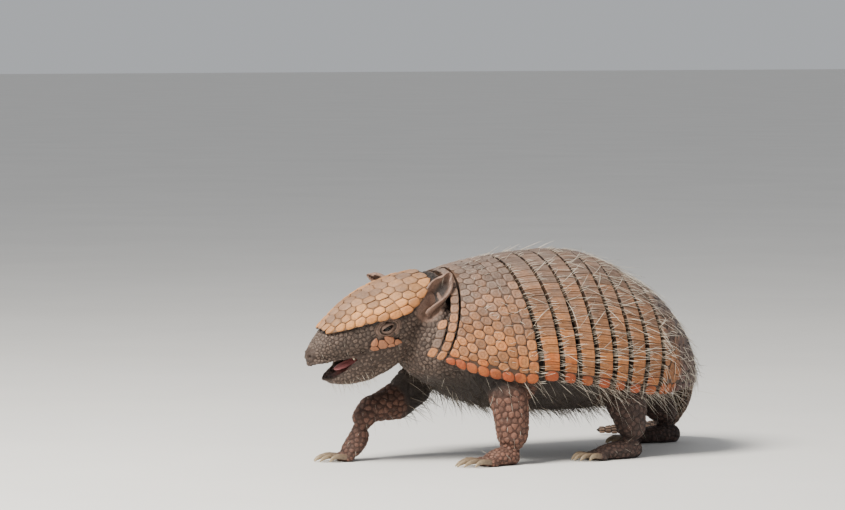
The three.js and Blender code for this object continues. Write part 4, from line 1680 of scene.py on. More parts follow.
@dataclass(frozen=True)
class EyeFinish(Surface):
    """A wet dark eye with a brown iris."""

    pupil: Colour = (0.004, 0.003, 0.003)
    iris: Colour = (0.045, 0.02, 0.01)

    def wire(self, tree: Wiring) -> None:
        """Wires the material."""
        cloud = tree.noise(tree.place(), 1500.0, 4.0).outputs["Fac"]
        share = tree.math("MULTIPLY", tree.carried("flank"), tree.spread(cloud, 0.3, 0.7, 0.4, 1.0))
        inputs = {
            "Base Color": tree.blend(share, self.pupil, self.iris), "Roughness": 0.04,
            "Coat Weight": 1.0, "Coat Roughness": 0.02,
        }
        for key, value in inputs.items():
            tree.feed(tree.tree.nodes["Principled BSDF"].inputs[key], value)


@dataclass(frozen=True)
class FloorFinish(Surface):
    """Pale matt floor with a faint unevenness."""

    colour: Colour = (0.74, 0.72, 0.69)

    def wire(self, tree: Wiring) -> None:
        """Wires the material."""
        base = tree.use(Effect.MOTTLE, Colour=self.colour, Scale=3.0, Amount=0.03)
        fine = tree.use(Effect.GRAIN, Scale=500.0)
        rough = tree.spread(fine.outputs["Mask"], 0.0, 1.0, 0.8, 0.92)
        tree.dress(base.outputs[0], fine.outputs["Height"], 0.0001, rough)


class Finish(Enum):
    """The finishes of the animal and its floor."""

    SHELL = HornFinish("shell horn", (
        (0.0, (0.115, 0.08, 0.065)), (0.35, (0.15, 0.09, 0.061)), (0.62, (0.25, 0.115, 0.052)),
        (0.88, (0.38, 0.148, 0.046)), (1.02, (0.4, 0.105, 0.02)), (1.16, (0.26, 0.05, 0.01)),
    ))
    HEAD = HornFinish("head horn", (
        (0.0, (0.2, 0.115, 0.07)), (0.4, (0.33, 0.16, 0.064)), (0.75, (0.47, 0.2, 0.06)),
        (1.0, (0.4, 0.15, 0.042)), (1.12, (0.4, 0.15, 0.042)), (1.22, (0.35, 0.14, 0.066)),
    ), dusty=0.18, rump_shade_share=0.0)
    TAIL = HornFinish("tail horn", (
        (0.0, (0.13, 0.085, 0.06)), (0.6, (0.15, 0.09, 0.058)), (1.1, (0.17, 0.095, 0.055)),
    ), rump_shade_share=0.25)
    HIDE = HideFinish("hide")
    HAIR = HairFinish("hair")
    CLAW = MoistFinish("claw horn", (0.12, 0.08, 0.055), (0.36, 0.27, 0.16), 0.38, 0.0001)
    TONGUE = MoistFinish("tongue", (0.3, 0.1, 0.1), (0.5, 0.2, 0.19), 0.22, 0.0003, 1400.0)
    TOOTH = MoistFinish("tooth", (0.5, 0.4, 0.26), (0.68, 0.6, 0.45), 0.3, 0.00008)
    EYE = EyeFinish("eye")
    FLOOR = FloorFinish("floor")

    def made(self) -> bpy.types.Material:
        """The finish's material."""
        return self.value.material()


# ---- skin

FLESH = (
    "trunk", "head", "neck", "lower_jaw", *(f"{part}_{leg.name}" for leg in LEGS for part in ("leg", "foot")),
)
MASKS = ("neck", "face", "leg", "shade", "ear", "wet")


def jaw_line(along: Array) -> tuple[Array, Array]:
    """The lower jaw at places along the head.

    Args:
        along: The places.

    Returns:
        Its half width, and the height of its middle.
    """
    wide = smooth([(0, 20), (0.3, 22), (0.6, 16), (0.85, 10.5), (1, 8)], (along - 28) / 96)
    return wide, smooth([(28, -46), (58, -52), (88, -53), (110, -48), (124, -43)], along)


def eye_centre(side: int) -> Array:
    """The centre of the left (1) or right (-1) eye."""
    return head_point(EYE_ALONG, side * EYE_SIDE, EYE_UP)


def limb_distance(points: Array, leg: Leg) -> tuple[Array, Array, Array]:
    """How far points are from a leg's path.

    Args:
        points: The points.
        leg: The leg.

    Returns:
        The distance of each, how far along the path its nearest place is, and whether it is over the foot.
    """
    share = np.linspace(0, 1, 40)
    path = curve_through([station[:3] for station in leg.limb], share)
    away = np.linalg.norm(points[:, None] - path[None], axis=2)
    foot = np.linalg.norm(points[:, :2] - np.array(leg.at), axis=1) < leg.length + 30
    return away.min(1), share[away.argmin(1)], foot


def shield_margin(along: Array) -> Array:
    """The lower edge of the head's shield.

    Args:
        along: Places along the head.

    Returns:
        The edge's height at each, in head coordinates.
    """
    station = np.linspace(0, 1, 60)
    edge = HeadPatch().at(station, np.ones(60), np.zeros(60))
    return np.interp(along, station * SHIELD_LENGTH, head_coordinates(edge)[2])


def masks(points: Array) -> dict[str, Array]:
    """Which part of the body points lie on, and how much painted shade they take.

    Args:
        points: Points on the skin.

    Returns:
        A share, 0 to 1, for each name in MASKS.
    """
    along, side, up = head_coordinates(points)
    face = fade(along, 0, 12) * fade(up, -76, -70) * fade(points[..., 2], 62, 70)
    leg, dark, ear = np.zeros((3, len(points)))
    for each in LEGS:
        away, share, foot = limb_distance(points, each)
        mine = np.maximum(fade(away, 30, 22) * fade(share, 0.25, 0.42), foot * fade(points[:, 2], 24, 17))
        leg = np.maximum(leg, mine)
        # Painted shade: the hind legs and the far (right) legs are darkened, on the skin and on its scales alike.
        dark = np.maximum(dark, mine * (0.75 if "hind" in each.name else 0.35 if "right" in each.name else 0))
    inside = np.abs(side) < np.minimum(smooth(SKULL_WIDTH, along) * 0.64, jaw_line(along)[0] * 0.84) - 1
    inside = inside * (along > 50) * fade(along, 120, 117)
    wet = inside * fade(np.abs(up - (smooth(SKULL_BOTTOM, along) - 44) / 2), 9, 5)
    neck = fade(points[..., 0], -104, -116) * (1 - leg) * fade(points[..., 2], 60, 95)
    # Painted shade: a dark band on the skin just under the head shield's lower edge and in the fold behind its rear
    # edge.
    below = shield_margin(along) - up
    seam = fade(below, 3.4, 1.4) * fade(along, -9, -5) * fade(along, 114, 108)
    behind = fade(np.abs(along + 2.5), 6.5, 3.5) * fade(up, -34, -26)
    dark = np.maximum(dark, 0.94 * np.maximum(seam, behind))
    for each in EARS:
        root, axis = head_point(*each.base), unit(np.array(each.points, float))
        reach = np.clip((points - root) @ axis, 0, EAR_LENGTH)
        away = np.linalg.norm(points - root - reach[:, None] * axis, axis=1)
        ear = np.maximum(ear, fade(away, 15, 11))
    return {"neck": neck, "face": face, "leg": leg, "shade": dark, "ear": ear, "wet": wet}


def creased(where: Array, pitch: Sequence[float], seed: int, width: float) -> Array:
    """A net of creases: 1 in a crease and 0 between."""
    return fade(np.abs(swell(where, pitch, seed)), width, 0)


def fold_depth(points: Array) -> Array:
    """How far the skin sinks into its wrinkles.

    Args:
        points: Points on the skin.

    Returns:
        The depth at each, in millimetres.
    """
    head, part = np.stack(head_coordinates(points), axis=-1), masks(points)
    depth = part["face"] * 0.55 * creased(head, (4.2, 9.0, 5.5), 1, 0.2)
    depth += part["face"] * 0.4 * creased(head, (2.6, 5.0, 6.0), 2, 0.22)
    depth += part["neck"] * (1 - part["face"]) * 1.3 * creased(head, (5.0, 22.0, 22.0), 3, 0.3)
    depth += part["leg"] * 0.7 * creased(points, (16.0, 16.0, 5.5), 4, 0.2)
    rest = 1 - np.maximum(part["face"], np.maximum(part["neck"], part["leg"]))
    depth += rest * creased(points, (9.0, 16.0, 9.0), 5, 0.22)
    for side in (-1, 1):
        away = np.linalg.norm(points - head_point(132.5, side * 5.2, -11.5), axis=-1)
        depth += 3.4 * fade(away, 3.0, 1.2) - 0.7 * fade(np.abs(away - 4.0), 1.6, 0)
    return depth


def face_map(points: Array) -> Array:
    """Places of skin points on the bake map, on an unrolled trunk, head and legs.

    Args:
        points: Points on the skin.

    Returns:
        One place for each point.
    """
    turn = np.arctan2(points[:, 1] - spine_y(points[:, 0]), points[:, 2] - 95) / math.tau + 0.5
    places = np.stack([0.02 + 0.46 * (points[:, 0] + 250) / 500, 0.02 + 0.46 * turn], axis=1)
    along, side, up = head_coordinates(points)
    on_head = masks(points)["face"] > 0.5
    turn = np.arctan2(side, up + 25) / math.tau + 0.5
    places[on_head] = np.stack([0.52 + 0.46 * (along + 10) / 150, 0.02 + 0.46 * turn], axis=1)[on_head]
    for k, leg in enumerate(LEGS):
        away, share, foot = limb_distance(points, leg)
        path = curve_through([station[:3] for station in leg.limb], share)
        turn = np.arctan2(points[:, 1] - path[:, 1], points[:, 0] - path[:, 0]) / math.tau + 0.5
        mine = ((away < 24) & (share > 0.3)) | ((points[:, 2] < 20) & foot)
        reach = np.clip(points[:, 2] / 90, 0, 1)
        places[mine] = np.stack([0.02 + 0.245 * k + 0.22 * turn, 0.52 + 0.46 * reach], axis=1)[mine]
    return np.clip(places, 0, 0.99)


@dataclass
class Skin:
    """One hide over all the flesh, with its folds, lids, lips and ears."""

    voxel: float = 1.4
    smoothing: int = 9
    most_faces: int = 168_000
    lip: float = 1.9
    cheek_wall: float = 2.3
    lid_points: int = 64
    ear_rows: int = 34
    ear_columns: int = 40
    lid_rings: tuple[tuple[float, ...], ...] = (
        (4.9, 0.92, 0, -0.35, 0.1), (5.1, 1, 0, 0.15, 0.1), (5.35, 1.1, 0.35, 0.85, 0.5),
        (5.9, 1.15, 1.1, 1.35, 0.7), (6.6, 0, 4.2, 1.15, 0.6), (7.3, 0, 5.2, 0.5, 0.35),
    )
    fold_rings: tuple[tuple[float, ...], ...] = (
        (7.9, 5.9, 0.45, 0.15), (8.5, 6.5, 1.2, 0.6), (9.1, 7.1, 1.3, 0.7), (9.6, 7.7, 0.35, 0.2),
        (10.3, 8.5, 0.8, 0.6), (11.0, 9.3, 0.7, 0.6), (11.7, 10.0, 0.1, 0.25), (12.6, 10.9, 0.3, 0.5),
        (13.8, 12.0, -1.2, 0.5),
    )

    def ear(self, ear: Ear, draft: Draft) -> None:
        """Adds an ear: a rolled leaf with a thick rim.

        Args:
            ear: The ear.
            draft: The piece.
        """
        root, axis = head_point(*ear.base), unit(np.array(ear.points, float))
        opening = np.array(ear.opens, float)
        opening = unit(opening - axis * (axis @ opening))
        side = np.cross(axis, opening)
        u = np.linspace(-0.1, 1, self.ear_rows)[:, None]
        across = np.linspace(-1, 1, self.ear_columns)[None]
        tall = np.maximum(u, 0)
        roll = np.radians(150 + (66 - 150) * tall**0.8) * across
        rim = 1 - 0.35 * fade(np.abs(across), 0.86, 1) - 0.35 * fade(tall, 0.9, 1)
        length = EAR_LENGTH * (u - 0.2 * np.abs(across) ** 2.6 * tall**2)
        faces = []
        for face in (0, 1):
            radius = smooth(EAR_RADIUS, tall) * ear.wide - (EAR_WALL * (0.5 + (face - 0.5) * rim))
            place = root + axis * length[..., None] - opening * (radius * np.cos(roll))[..., None]
            place = place + side * (radius * np.sin(roll))[..., None]
            faces.append(place + unit(place - root) * (0.22 * swell(place, 2.6, 30 + face))[..., None])
        # Painted shade: the ear's inner face is darkened along the middle of its trough, less towards the tip.
        deep = 0.97 * fade(np.abs(across), 0.62, 0.2) * (1 - 0.8 * fade(tall, 0.6, 0.95))
        draft.add(np.stack(faces), sheet_faces(self.ear_rows, self.ear_columns), ear=1, tone=0.5, edge=0.75,
                  shade=np.stack([np.zeros(deep.shape), deep]))

    def lids(self, side: int, tree: BVHTree, draft: Draft) -> None:
        """Adds an eye's lids and the rings of folds round them.

        Args:
            side: The left (1) or the right (-1) eye.
            tree: The skin's surface.
            draft: The piece.
        """
        centre, (forward, left, up) = eye_centre(side), HEAD_AXES
        out = unit(left * side + forward * 0.12 + up * 0.1)
        ahead = unit(forward - out * (forward @ out))
        rise = np.cross(out, ahead) * side
        turn = around(self.lid_points)
        c, s = np.cos(turn), np.sin(turn)
        slit = np.where(s > 0, 1.9, 1.75) * np.abs(s) ** 1.2 * np.sign(s)
        rings = []

        def flat(wide: float, high: Array) -> tuple[Array, Array, Array]:
            """A ring's points over the eye's centre, and how far ahead and up they lie."""
            a, b = wide * c, np.where(high < -2.2, -2.2 + (high + 2.2) * 0.76, high) + 0.35
            return centre + ahead * a[:, None] + rise * b[:, None], a, b

        for wide, share, more, lift, _ in self.lid_rings:
            points, a, b = flat(wide, slit * share + more * s)
            height = np.sqrt(np.maximum((EYE_RADIUS + lift) ** 2 - a**2 - b**2, 0.5))
            rings.append(points + out * height[:, None])
        for wide, high, lift, _ in self.fold_rings:
            ring = []
            for point in flat(wide, high * s)[0]:
                hit, *_ = tree.ray_cast(Vector(point + out * 16), Vector(-out), 30)
                ring.append(np.array(hit) if hit else point)
            wobble = 0.25 * swell(np.array(ring), 3.0, 40)
            rings.append(np.array(ring) + out * (lift + wobble)[:, None])
        edge = np.array([ring[-1] for ring in self.lid_rings + self.fold_rings])[:, None]
        faces = grid_faces(len(rings), self.lid_points, wrap=True)
        draft.add(np.array(rings), [faces], face=1, tone=0.5, edge=edge, ear=0.5)

    def lips(self) -> list[bpy.types.Object]:
        """Makes the rolled rims of the lips, to melt into the skin.

        Returns:
            The upper and the lower rim.
        """
        along = np.array([60, 74, 90, 105, 117, 127])
        upper = np.stack([along, smooth(SKULL_WIDTH, along) * 0.8, smooth(SKULL_BOTTOM, along) + 2.6], axis=1)
        radii = [(0, 1.2), (0.2, self.lip), (0.5, self.lip), (0.8, self.lip), (1, 1.2)]
        made = []
        for name, rim, front in (("upper", upper, (133.5, 0, -20)), ("lower", np.array(LIP_RIM), (126, 0, -40.5))):
            loop = np.vstack([rim, front, rim[::-1] * (1, -1, 1)])
            patch, draft = TubePatch([head_point(*p) for p in loop], radii, HEAD_AXES[2]), Draft()
            along = np.linspace(0, 1, 90)[:, None]
            add_tube(draft, patch.at(along, np.arange(12)[None] / 12, np.zeros((90, 12))))
            made.append(draft.build(f"lip_{name}"))
        return made

    def cheeks(self) -> list[bpy.types.Object]:
        """Makes the walls behind the mouth's corners, to melt into the skin.

        Returns:
            The left and the right wall.
        """
        along = np.linspace(38, 121, 60)
        corner, wide, high = np.array(LIP_RIM).T
        rim = np.interp(along, corner, high)
        crown, under = smooth(SKULL_TOP, along), smooth(SKULL_BOTTOM, along)
        waist = crown + (under - crown) * HEAD_WAIST
        meet = waist + (under - waist) * 0.5
        top = meet + (rim - meet) * fade(along, corner[0] - 8, corner[0] + 3)
        jaw_wide, jaw_up = jaw_line(along)
        low = jaw_up - 3
        inner = np.interp(along, corner, wide) + 20 * fade(along, 90, 80)
        wide_top = np.minimum(smooth(SKULL_WIDTH, along) * 0.82, inner)
        wide_low = jaw_wide * 0.84
        turn, made = around(16), []
        for side in (1, -1):
            up = (top + low)[:, None] / 2 + (top - low)[:, None] / 2 * np.sin(turn)
            share = (1 + np.sin(turn)) / 2
            bulge = 2.4 * np.sin(share * math.pi) + self.cheek_wall * np.cos(turn)
            out = wide_low[:, None] * (1 - share) + wide_top[:, None] * share + bulge
            draft = Draft()
            add_tube(draft, head_point(along[:, None], side * out, up))
            made.append(draft.build(f"cheek_{side}"))
        return made

    def nape(self) -> bpy.types.Object:
        """Makes the folded pad that fills the nape between the head's shield and the first horny row.

        Returns:
            The pad, to melt into the skin.
        """
        turn = around(40)[None]
        share = np.linspace(0, 1, 24)[:, None]
        angle = np.radians(90 - 180 * share) * 0.86
        high = fade(np.abs(angle), 0.55, 0.25)
        front = skull_point(np.full(angle.shape, 2.0), angle, 1.8 * high - 1)
        rear = lifted(hoop_point, front_edge(NUCHAL_PITCH)(angle), -angle * 0.86, 1.9 * high - 3.5)
        middle, reach = (front + rear) / 2, (rear - front) / 2
        thick = unit(np.array([-114.0, 1.0, 128.0]) - middle) * 6.5
        rings = middle + reach * 1.1 * np.cos(turn)[..., None] - thick * np.sin(turn)[..., None] * 0.8
        rings += thick * (1 - 0.45 * high)[..., None]
        draft = Draft()
        add_tube(draft, rings)
        return draft.build("nape")

    def melt(self) -> bpy.types.Object:
        """Joins the flesh and the lips into one closed surface.

        Returns:
            The skin.
        """
        parts = [*self.lips(), *self.cheeks(), self.nape()]
        for part in parts:
            face_outwards(part)
        parts += [place_object(f"flesh_{name}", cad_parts[name].data.copy()) for name in FLESH]
        select(*parts)
        bpy.ops.object.join()
        skin = bpy.context.view_layer.objects.active
        skin.name = skin.data.name = "hide_skin"
        edit(skin, lambda: bpy.ops.mesh.remove_doubles(threshold=1e-6))
        while skin.data.color_attributes:
            skin.data.color_attributes.remove(skin.data.color_attributes[0])
        remesh = skin.modifiers.new("melt", "REMESH")
        remesh.mode, remesh.voxel_size = "VOXEL", self.voxel * MM
        soften = skin.modifiers.new("soften", "SMOOTH")
        soften.factor, soften.iterations = 0.5, self.smoothing
        for modifier in ("melt", "soften"):
            bpy.ops.object.modifier_apply(modifier=modifier)
        return skin

    def sculpt(self, skin: bpy.types.Object) -> None:
        """Presses the folds into the skin, draws it in under the shell and thins its mesh.

        Args:
            skin: The skin.
        """
        points = read_points(skin.data)
        normals = np.empty(len(points) * 3, np.float32)
        skin.data.vertices.foreach_get("normal", normals)
        under = 4.0 * fade(points[:, 2], 88, 104) * fade(points[:, 0], -98, -84)
        write_points(skin.data, points - normals.reshape(-1, 3) * (fold_depth(points) + under)[:, None])
        skin.data.update()
        thin = skin.modifiers.new("thin", "DECIMATE")
        thin.ratio = min(1.0, self.most_faces / (len(skin.data.polygons) * 2))
        bpy.ops.object.modifier_apply(modifier="thin")
        skin.data.validate()

    def build(self, material: bpy.types.Material) -> bpy.types.Object:
        """Builds and dresses the skin.

        Args:
            material: The hide.

        Returns:
            The skin.
        """
        skin = self.melt()
        self.sculpt(skin)
        part = masks(read_points(skin.data))
        scaly = np.maximum(part["leg"], np.maximum(part["neck"], part["face"]))
        scaly = scaly * (1 - part["wet"]) * (1 - part["ear"])
        for key, value in {**part, "tone": np.full(scaly.shape, 0.5), "edge": 0.6 - 0.57 * scaly}.items():
            write_value(skin.data, key, value)
        tree, draft = bvh_of(skin), Draft(*MASKS, "tone", "edge")
        for ear in EARS:
            self.ear(ear, draft)
        for side in (1, -1):
            self.lids(side, tree, draft)
        select(draft.build("hide_extra"), skin)
        bpy.ops.object.join()
        skin.data.validate()
        skin.data.polygons.foreach_set("use_smooth", np.ones(len(skin.data.polygons), bool))
        hand_over(skin, material, "skin", *FLESH, "ear_left", "ear_right")
        return skin


def bvh_of(piece: bpy.types.Object) -> BVHTree:
    """A search tree over a piece's surface, in the drawing's millimetres."""
    points = np.empty(len(piece.data.vertices) * 3, np.float32)
    piece.data.vertices.foreach_get("co", points)
    points = points.reshape(-1, 3) / MM - SHIFT
    return BVHTree.FromPolygons(points.tolist(), [tuple(p.vertices) for p in piece.data.polygons])


@dataclass
class Ground:
    """Even places on the skin, with what is known of each."""

    points: Array
    normals: Array
    parts: dict[str, Array]


def sample(skin: bpy.types.Object, spacing: Callable[[Array, Array, dict], Array], crowd: float,
           seed: int) -> tuple[Ground, Array]:
    """Picks places on the skin that keep a distance from each other.

    Args:
        skin: The skin.
        spacing: Gives the distance at points, with their normals and masks; zero keeps a point out.
        crowd: Tries for each place that would fit.
        seed: Which random draws.

    Returns:
        The places, and the distance at each.
    """
    rng = np.random.default_rng(seed)
    mesh = skin.data
    mesh.calc_loop_triangles()
    corners = np.empty(len(mesh.loop_triangles) * 3, np.int32)
    mesh.loop_triangles.foreach_get("vertices", corners)
    triangles = read_points(mesh)[corners.reshape(-1, 3)]
    cross = np.cross(triangles[:, 1] - triangles[:, 0], triangles[:, 2] - triangles[:, 0])
    middles = triangles.mean(1)
    apart = spacing(middles, unit(cross), masks(middles))
    areas = np.linalg.norm(cross, axis=1) / 2
    weights = np.where(apart > 0, areas / np.maximum(apart, 0.1) ** 2, 0)
    tries = int(weights.sum() * crowd)
    chosen = rng.choice(len(weights), tries, p=weights / weights.sum())
    a, b = rng.random((2, tries))
    a, b = np.where(a + b > 1, 1 - a, a), np.where(a + b > 1, 1 - b, b)
    t = triangles[chosen]
    points = t[:, 0] + (t[:, 1] - t[:, 0]) * a[:, None] + (t[:, 2] - t[:, 0]) * b[:, None]
    apart = apart[chosen]
    cells: dict[tuple[int, int, int], list[int]] = {}
    kept: list[int] = []
    keys = np.floor(points / float(apart.max())).astype(int)
    for i, (point, key, gap) in enumerate(zip(points, map(tuple, keys), apart)):
        x, y, z = key
        around_it = (cells.get((x + dx, y + dy, z + dz), ()) for dx, dy, dz in product((-1, 0, 1), repeat=3))
        if not any((away := points[j] - point) @ away < gap * gap for found in around_it for j in found):
            cells.setdefault(key, []).append(i)
            kept.append(i)
    points = points[kept]
    return Ground(points, unit(cross)[chosen[kept]], masks(points)), apart[kept]


@dataclass
class HideScales:
    """The small scales of the face, the throat and the legs, each one grown on its own place."""

    corners: int = 8
    rings: tuple[tuple[float, ...], ...] = ((0.97, -0.4, 0, 1), (0.89, 0.25, 0.4, 0.75), (0.62, 0.64, 1, 0.4))
    centre: float = 0.72
    map_reach: float = 0.0016

    def spacing(self, points: Array, normals: Array, parts: dict[str, Array]) -> Array:
        """Keeps the scales apart.

        Args:
            points: Points of the skin.
            normals: The skin's normals there.
            parts: The masks there.

        Returns:
            The distance between scales at each point; zero where there are none.
        """
        along, side, up = head_coordinates(points)
        gap = np.where(parts["neck"] > 0.5, 3.3, 0.0)
        gap = np.where(parts["leg"] > 0.5, np.where(points[:, 2] < 18, 3.2, 4.4), gap)
        gap = np.where(parts["face"] > 0.5, 3.2 - 1.1 * fade(along, 92, 122), gap)
        covered = (up > shield_margin(along) + 0.4) & (along < SHIELD_LENGTH - 1) & (parts["face"] > 0)
        below = up < EYE_UP + 0.35
        from_eye = ((along - EYE_ALONG) / 13.4) ** 2 + ((up - EYE_UP) / np.where(below, 9.4, 12.6)) ** 2
        plate = ((along - 67) / 14) ** 2 + ((up + 30.3 - 0.2 * (along - 67)) / 8) ** 2
        covered |= ((from_eye < 1) | (plate < 1)) & (parts["face"] > 0)
        covered |= (parts["wet"] > 0.12) | (parts["ear"] > 0.35)
        covered |= (points[:, 2] < 5) & (normals[:, 2] < -0.55)
        covered |= (along > 124) & (np.abs(side) < 9) & (np.abs(up + 11.5) < 5)
        return np.where(covered, 0, gap)

    def feet(self, ground: Ground, gaps: Array, picked: Array, tree: BVHTree, rng: np.random.Generator) -> Array:
        """Lays the scales' outlines on the skin, each cut where it meets its neighbours.

        Args:
            ground: The scales' places.
            gaps: The distance between scales at each.
            picked: Which places to take.
            tree: The skin's surface.
            rng: Draws a direction.

        Returns:
            Places and then normals, by scale and corner.
        """
        near = KDTree(len(ground.points))
        for i, point in enumerate(ground.points):
            near.insert(point, i)
        near.balance()
        first = unit(np.cross(ground.normals, rng.normal(size=3)))
        second = np.cross(ground.normals, first)
        turn = around(8)
        disc = np.stack([np.cos(turn), np.sin(turn)], axis=1)
        feet = []
        for i in picked:
            here, gap = ground.points[i], gaps[i]
            found = [k for _, k, _ in near.find_range(here, gap * 2.1) if k != i]
            away = ground.points[found] - here
            others = np.stack([away @ first[i], away @ second[i]], axis=1)
            shape = outline(cell(np.zeros(2), others, disc * gap * 0.98), self.corners, 0.3)
            for corner in here + shape[:, :1] * first[i] + shape[:, 1:] * second[i]:
                place, normal, _, _ = tree.find_nearest(Vector(corner), 6)
                feet.append((corner, ground.normals[i]) if place is None else (place, normal))
        return np.array(feet, float).reshape(len(picked), self.corners, 2, 3)

    def grow(self, name: str, ground: Ground, gaps: Array, chosen: Array, tree: BVHTree, seed: int,
             material: bpy.types.Material) -> None:
        """Builds one piece of scales.

        Args:
            name: The piece's name.
            ground: The scales' places.
            gaps: The distance between scales at each.
            chosen: Which places belong to this piece.
            tree: The skin's surface.
            seed: Which random tones.
            material: Its finish.
        """
        rng, picked = np.random.default_rng(seed), np.flatnonzero(chosen)
        foot, rise = np.moveaxis(self.feet(ground, gaps, picked, tree, rng), 2, 0)
        normals = ground.normals[picked][:, None]
        rise = unit(rise + normals)
        middle = foot.mean(1, keepdims=True)
        size = gaps[picked][:, None, None] / 4
        rings = [middle + (foot - middle) * share + rise * (lift * size) for share, lift, *_ in self.rings]
        points = np.concatenate([*rings, middle + normals * (self.centre * size)], axis=1)
        quads, fan, base = boss_faces(len(picked), len(self.rings), self.corners)
        _, _, edge, wide = np.array(self.rings).T
        turn = np.arange(self.corners) * math.tau / 8
        disc = np.tile(np.stack([np.cos(turn), np.sin(turn)], -1), (len(self.rings), 1))
        walk = np.concatenate([disc * np.repeat(wide, self.corners)[:, None], np.zeros((1, 2))])
        roots = face_map(ground.points[picked])[:, None] + walk[None] * self.map_reach
        draft = Draft(*MASKS, "tone", "edge")
        parts = {key: value[picked][:, None] for key, value in ground.parts.items()}
        draft.add(points, [quads[..., ::-1], fan, base], roots, 1, tone=rng.random(len(picked))[:, None],
                  edge=np.append(np.repeat(edge, self.corners), 1.0), **parts)
        hand_over(draft.build(name), material, "leg_skin" if "leg" in name else "skin")

    def build(self, skin: bpy.types.Object, tree: BVHTree, material: bpy.types.Material) -> None:
        """Builds the scales of the face and throat, and those of the legs.

        Args:
            skin: The skin.
            tree: Its surface.
            material: The hide.
        """
        ground, gaps = sample(skin, self.spacing, 5.0, 71)
        legs = ground.parts["leg"] > 0.5
        self.grow("scales_face", ground, gaps, ~legs, tree, 72, material)
        self.grow("scales_legs", ground, gaps, legs, tree, 73, material)


# ---- eyes, mouth and claws


@dataclass
class Eyes:
    """The eyeballs, each with a slightly bulging cornea."""

    segments: int = 48
    cornea: float = 0.45

    def build(self, material: bpy.types.Material) -> None:
        """Builds both eyes.

        Args:
            material: Their finish.
        """
        forward, left, up = HEAD_AXES
        for name, side in (("left", 1), ("right", -1)):
            bpy.ops.object.select_all(action="DESELECT")
            bpy.ops.mesh.primitive_uv_sphere_add(segments=self.segments, ring_count=32, radius=1)
            eye = bpy.context.object
            eye.name = eye.data.name = f"eyeball_{name}"
            ball = np.array([v.co for v in eye.data.vertices], float)
            open_angle = np.arccos(np.clip(ball[:, 2], -1, 1))
            radius = EYE_RADIUS * (1 + self.cornea / EYE_RADIUS * fade(open_angle, 0.62, 0.3))
            look = unit(left * side + forward * 0.25 + up * 0.08)
            across = unit(np.cross(up, look))
            turned = ball @ np.array([across, np.cross(look, across), look])
            write_points(eye.data, eye_centre(side) + turned * radius[:, None])
            write_value(eye.data, "flank", fade(open_angle, 0.2, 0.3) * fade(open_angle, 0.66, 0.56))
            bpy.ops.object.shade_smooth()
            hand_over(eye, material, "eye", f"eye_{name}")


@dataclass
class Mouth:
    """The tongue on the jaw's floor, and the pegs of the cheek teeth."""

    tongue_size: tuple[float, float] = (7.0, 2.2)
    teeth: int = 6
    tooth: float = 1.0

    def tongue(self, material: bpy.types.Material) -> None:
        """Builds the tongue, with a groove along its middle.

        Args:
            material: Its finish.
        """
        share = np.linspace(0, 1, 70)[:, None]
        turn = np.linspace(0, math.tau, 44, endpoint=False)[None]
        line = curve_through([(a, 0, u) for a, u in TONGUE_PATH], share[:, 0])
        round_tip = np.sqrt(np.clip(1 - np.maximum(share - 0.8, 0) ** 2 / 0.04 * 0.995, 0.01, 1))
        wide = self.tongue_size[0] * round_tip * (1 - 0.2 * share)
        groove = 0.6 * np.exp(-((np.cos(turn) / 0.16) ** 2)) * (np.sin(turn) > 0)
        thick = self.tongue_size[1] * round_tip * (1 - groove)
        bumps = 0.18 * swell(xyz(share * 55, np.cos(turn) * 7, np.sin(turn)), 1.7, 50)
        up = line[:, None, 2] + thick * np.sin(turn) + bumps
        draft = Draft("flank")
        add_tube(draft, head_point(line[:, None, 0], wide * np.cos(turn), up), flank=share[:, 0])
        draft.finish("mouth_tongue", material, "tongue", "tongue")

    def peg(self, draft: Draft, at: Array, toward: Array, height: float) -> None:
        """Adds one peg tooth.

        Args:
            draft: The piece.
            at: Where it stands.
            toward: Where it points.
            height: Its height.
        """
        share = np.array([0, 0.25, 0.5, 0.75, 0.92, 1.0])
        size = self.tooth * np.array([1.15, 1.05, 1.0, 0.9, 0.68, 0.3])
        turn = np.linspace(0, math.tau, 10, endpoint=False)
        aside = unit(np.cross(toward, HEAD_AXES[1]))
        ring = np.cos(turn)[:, None] * aside * 1.15 + np.sin(turn)[:, None] * np.cross(toward, aside) * 0.85
        points = at + toward * (share * height)[:, None, None] + ring[None] * size[:, None, None]
        add_tube(draft, points, flank=share)

    def build(self, tongue: bpy.types.Material, tooth: bpy.types.Material) -> None:
        """Builds the tongue and the teeth.

        Args:
            tongue: The tongue's finish.
            tooth: The teeth's finish.
        """
        self.tongue(tongue)
        draft, up = Draft("flank"), HEAD_AXES[2]
        for side, k in product((-1, 1), range(self.teeth)):
            along = 68 + k * 5.6
            wide = smooth(SKULL_WIDTH, along) * 0.66
            self.peg(draft, head_point(along, side * wide, smooth(SKULL_BOTTOM, along) + 1.0), -up, 3.0)
            jaw_wide, jaw_up = jaw_line(along - 4)
            half = smooth([(0, 12), (0.3, 12), (0.6, 9.5), (0.85, 5.5), (1, 4.5)], (along - 28) / 96)
            self.peg(draft, head_point(along - 4, side * jaw_wide * 0.68, jaw_up + half * 0.55), up, 3.4)
        draft.finish("mouth_teeth", tooth, "claw")


